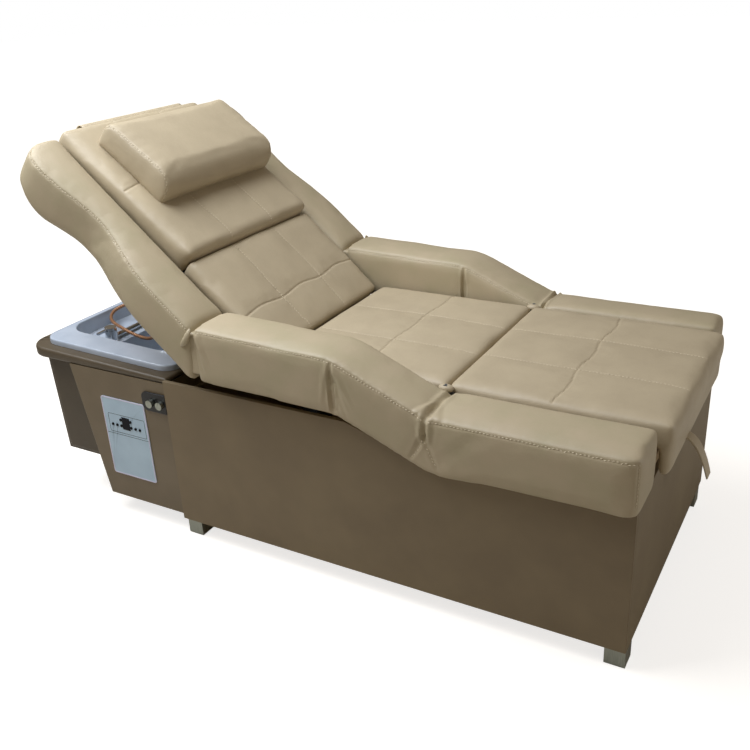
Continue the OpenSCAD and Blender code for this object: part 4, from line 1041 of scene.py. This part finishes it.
def roundOuter(bm, size):    # the long outer edges of a shell, or the corners of a flat plate
    edges = []
    for e in bm.edges:
        a, b = e.verts[0].co * 1000, e.verts[1].co * 1000
        if len(e.link_faces) != 2 or e.calc_face_angle(0) < 0.6:
            continue
        if "reach" in size:
            outer = min(abs(a.y), abs(b.y)) > size["reach"] - 1 and e.calc_length() > 0.06
            if outer and min(a.z, b.z) < 440 and max(a.x, b.x) + bed["middle"] < -8:
                edges.append(e)
        elif abs(a.x - b.x) < 0.1 and abs(a.z - b.z) < 0.1 and e.calc_length() < 0.02:
            if a.x + bed["middle"] < size.get("left", 9999):
                if min(abs(f.calc_area()) for f in e.link_faces) > 0.00001:
                    edges.append(e)
    bmesh.ops.bevel(bm, geom=edges, offset=size["radius"] / 1000, segments=6, profile=0.5, affect="EDGES",
                    material=-1, clamp_overlap=True)


rounding = {                  # how far the outer edges of these shells are rounded
    "basin_housing": {"radius": 16, "reach": 378}, "rear_housing": {"radius": 20, "reach": 334},
    "knob_bezel": {"radius": 17, "left": -80}, "control_plate": {"radius": 7},
}
ownBodies = ("mixer_lever", "hand_shower", "hot_knob", "cold_knob")
slotOf = {row["node"]: row["material_slot"] for row in frame["record"]["subparts"]}
for node, (edge, mat) in easing.items():
    bm = copyOf(node)
    bmesh.ops.dissolve_limit(bm, angle_limit=math.radians(1.5), verts=bm.verts, edges=bm.edges)
    bmesh.ops.triangulate(bm, faces=[f for f in bm.faces if len(f.verts) > 4])
    if node in rounding:
        roundOuter(bm, rounding[node])
    part = newObject(node + "_eased", bm, mat)
    bevel = part.modifiers.new("easedEdges", "BEVEL")
    bevel.width, bevel.segments, bevel.limit_method = edge / 1000, 3, "ANGLE"
    bevel.angle_limit = math.radians(35)
    part.modifiers.new("facesFirst", "WEIGHTED_NORMAL").keep_sharp = True
    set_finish(part, slotOf[node])
    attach(part, node if node in ownBodies else "base")
    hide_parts(node)

# Printed film of the control plate: a pale rim, a fine frame round the keys and a rule below them
plateArt = {"left": -252.5, "right": -93.5, "low": 134, "high": 379, "rim": 3.2, "skin": 0.5, "line": 1.1,
            "frame": (-236, -102, 272, 329), "rule": (-249, -97, 266), "face": -380, "corner": 7}


def flatFrame(bm, x0, x1, z0, z1, radius, width, proud):   # a thin band round a rounded rectangle on the plate
    face = plateArt["face"]
    bmesh.ops.create_cube(bm, size=1, matrix=Matrix.Translation(
        bedPoint((x0 + x1) / 2, face + 0.3 - (proud + 0.3) / 2, (z0 + z1) / 2))
        @ Matrix.Diagonal(((x1 - x0) / 1000, (proud + 0.3) / 1000, (z1 - z0) / 1000, 1)))
    corners = [e for e in bm.edges if abs((e.verts[0].co - e.verts[1].co).normalized().y) > 0.9]
    bmesh.ops.bevel(bm, geom=corners, offset=radius / 1000, segments=6, profile=0.5, affect="EDGES",
                    material=-1)
    ends = [f for f in bm.faces if abs(f.normal.y) > 0.9 and len(f.verts) > 8]
    bmesh.ops.inset_individual(bm, faces=ends, thickness=width / 1000, use_even_offset=True)
    rings = [e for f in ends for e in f.edges]
    bmesh.ops.delete(bm, geom=ends, context="FACES_ONLY")
    bmesh.ops.bridge_loops(bm, edges=rings)
    bmesh.ops.recalc_face_normals(bm, faces=bm.faces)


art = plateArt
bm = bmesh.new()
flatFrame(bm, art["left"], art["right"], art["low"], art["high"], art["corner"], art["rim"], art["skin"])
rim = newObject("plateRim", bm, edgeFilm, smooth=False)
bm = bmesh.new()
flatFrame(bm, *art["frame"], 4, art["line"], 0.2)
x0, x1, z0 = art["rule"]
bmesh.ops.create_cube(bm, size=1, matrix=Matrix.Translation(bedPoint((x0 + x1) / 2, art["face"] - 0.05, z0))
                      @ Matrix.Diagonal(((x1 - x0) / 1000, 0.0003, art["line"] / 1000, 1)))
lines = newObject("plateLines", bm, keyAbs, smooth=False)
for part in (rim, lines):
    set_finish(part, "plate_film")
    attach(part, "base")

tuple(route[0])

finishOf = {
    "plywood": plywood, "frame_steel": frameCoat, "foot_steel": steel, "bright_metal": chrome,
    "black_plastic": blackAbs, "heater_enamel": enamel, "moulded_shell": shellAbs, "basin_white": basinWhite,
    "plate_film": plateFilm, "dark_glass": displayGlass, "key_black": keyAbs, "cabinet_laminate": panelCloth,
    "side_leather": sideLeather, "pad_leather": padLeather, "copper_hose": hoseMetal,
}
for node, obj in frame["nodes"].items():
    for materialSlot in obj.material_slots:
        materialSlot.link = "OBJECT"
        materialSlot.material = finishOf[slotOf[node]]
print("hard parts finished")

# Floor and light: a softbox above the head end, a small one beyond the foot, and warm fill from the
# room. The floor and the backdrop are lifted to white for the camera only, and the one fades into the other
studio = {"lamps": [("softbox", (-0.9, -0.6, 2.45), 2.0, 79), ("footBox", (2.7, 0.35, 0.9), 1.2, 9.5)],
          "aim": (0, 0, 0.4), "floor": 40, "fill": 0.205,
          "glowNear": 0.74, "glowFar": 1.0, "fadeFrom": 1.3, "fadeTo": 3.2}
bm = bmesh.new()
bmesh.ops.create_grid(bm, x_segments=1, y_segments=1, size=studio["floor"] / 2)
floorMat, floorShader, floorCoords = newMaterial("paleFloor", 0.9, "#CFC9BE")
floorShader.inputs["Specular IOR Level"].default_value = 0
floorShader.inputs["Emission Color"].default_value = (1, 1, 1, 1)
floorReach = addNode(floorMat, "ShaderNodeVectorMath", {0: floorCoords}, operation="LENGTH")
floorFade = addNode(floorMat, "ShaderNodeMapRange", {
    "Value": floorReach.outputs["Value"], "From Min": studio["fadeFrom"], "From Max": studio["fadeTo"],
    "To Min": studio["glowNear"], "To Max": studio["glowFar"]})
floorRays = addNode(floorMat, "ShaderNodeLightPath")
floorGlow = addNode(floorMat, "ShaderNodeMath", {
    0: floorRays.outputs["Is Camera Ray"], 1: floorFade.outputs["Result"]}, operation="MULTIPLY")
floorMat.node_tree.links.new(floorGlow.outputs[0], floorShader.inputs["Emission Strength"])
floor = newObject("floor", bm, floorMat)
for lampName, at, size, power in studio["lamps"]:
    lampData = bpy.data.lights.new(lampName, "AREA")
    lampData.shape, lampData.size, lampData.energy = "SQUARE", size, power
    lampData.color = hexColor("#F2F7FF")[:3]
    lamp = linked(lampName, lampData)
    lamp.location = at
    lamp.rotation_euler = (Vector(studio["aim"]) - lamp.location).to_track_quat("-Z", "Y").to_euler()
world = bpy.data.worlds.new("studio")
bpy.context.scene.world = world
world.use_nodes = True
backdrop = world.node_tree.nodes["Background"]
rays = addNode(world, "ShaderNodeLightPath")
level = addNode(world, "ShaderNodeMapRange", {
    "Value": rays.outputs["Is Camera Ray"], "To Min": studio["fill"], "To Max": 1.0})
world.node_tree.links.new(level.outputs["Result"], backdrop.inputs["Strength"])
tint = addNode(world, "ShaderNodeValToRGB", {"Fac": rays.outputs["Is Camera Ray"]})
tint.color_ramp.elements[0].color, tint.color_ramp.elements[1].color = hexColor("#FFEBD0"), hexColor("#FFFFFF")
world.node_tree.links.new(tint.outputs["Color"], backdrop.inputs["Color"])
bpy.context.scene.view_settings.view_transform = "Standard"
print("studio lit")
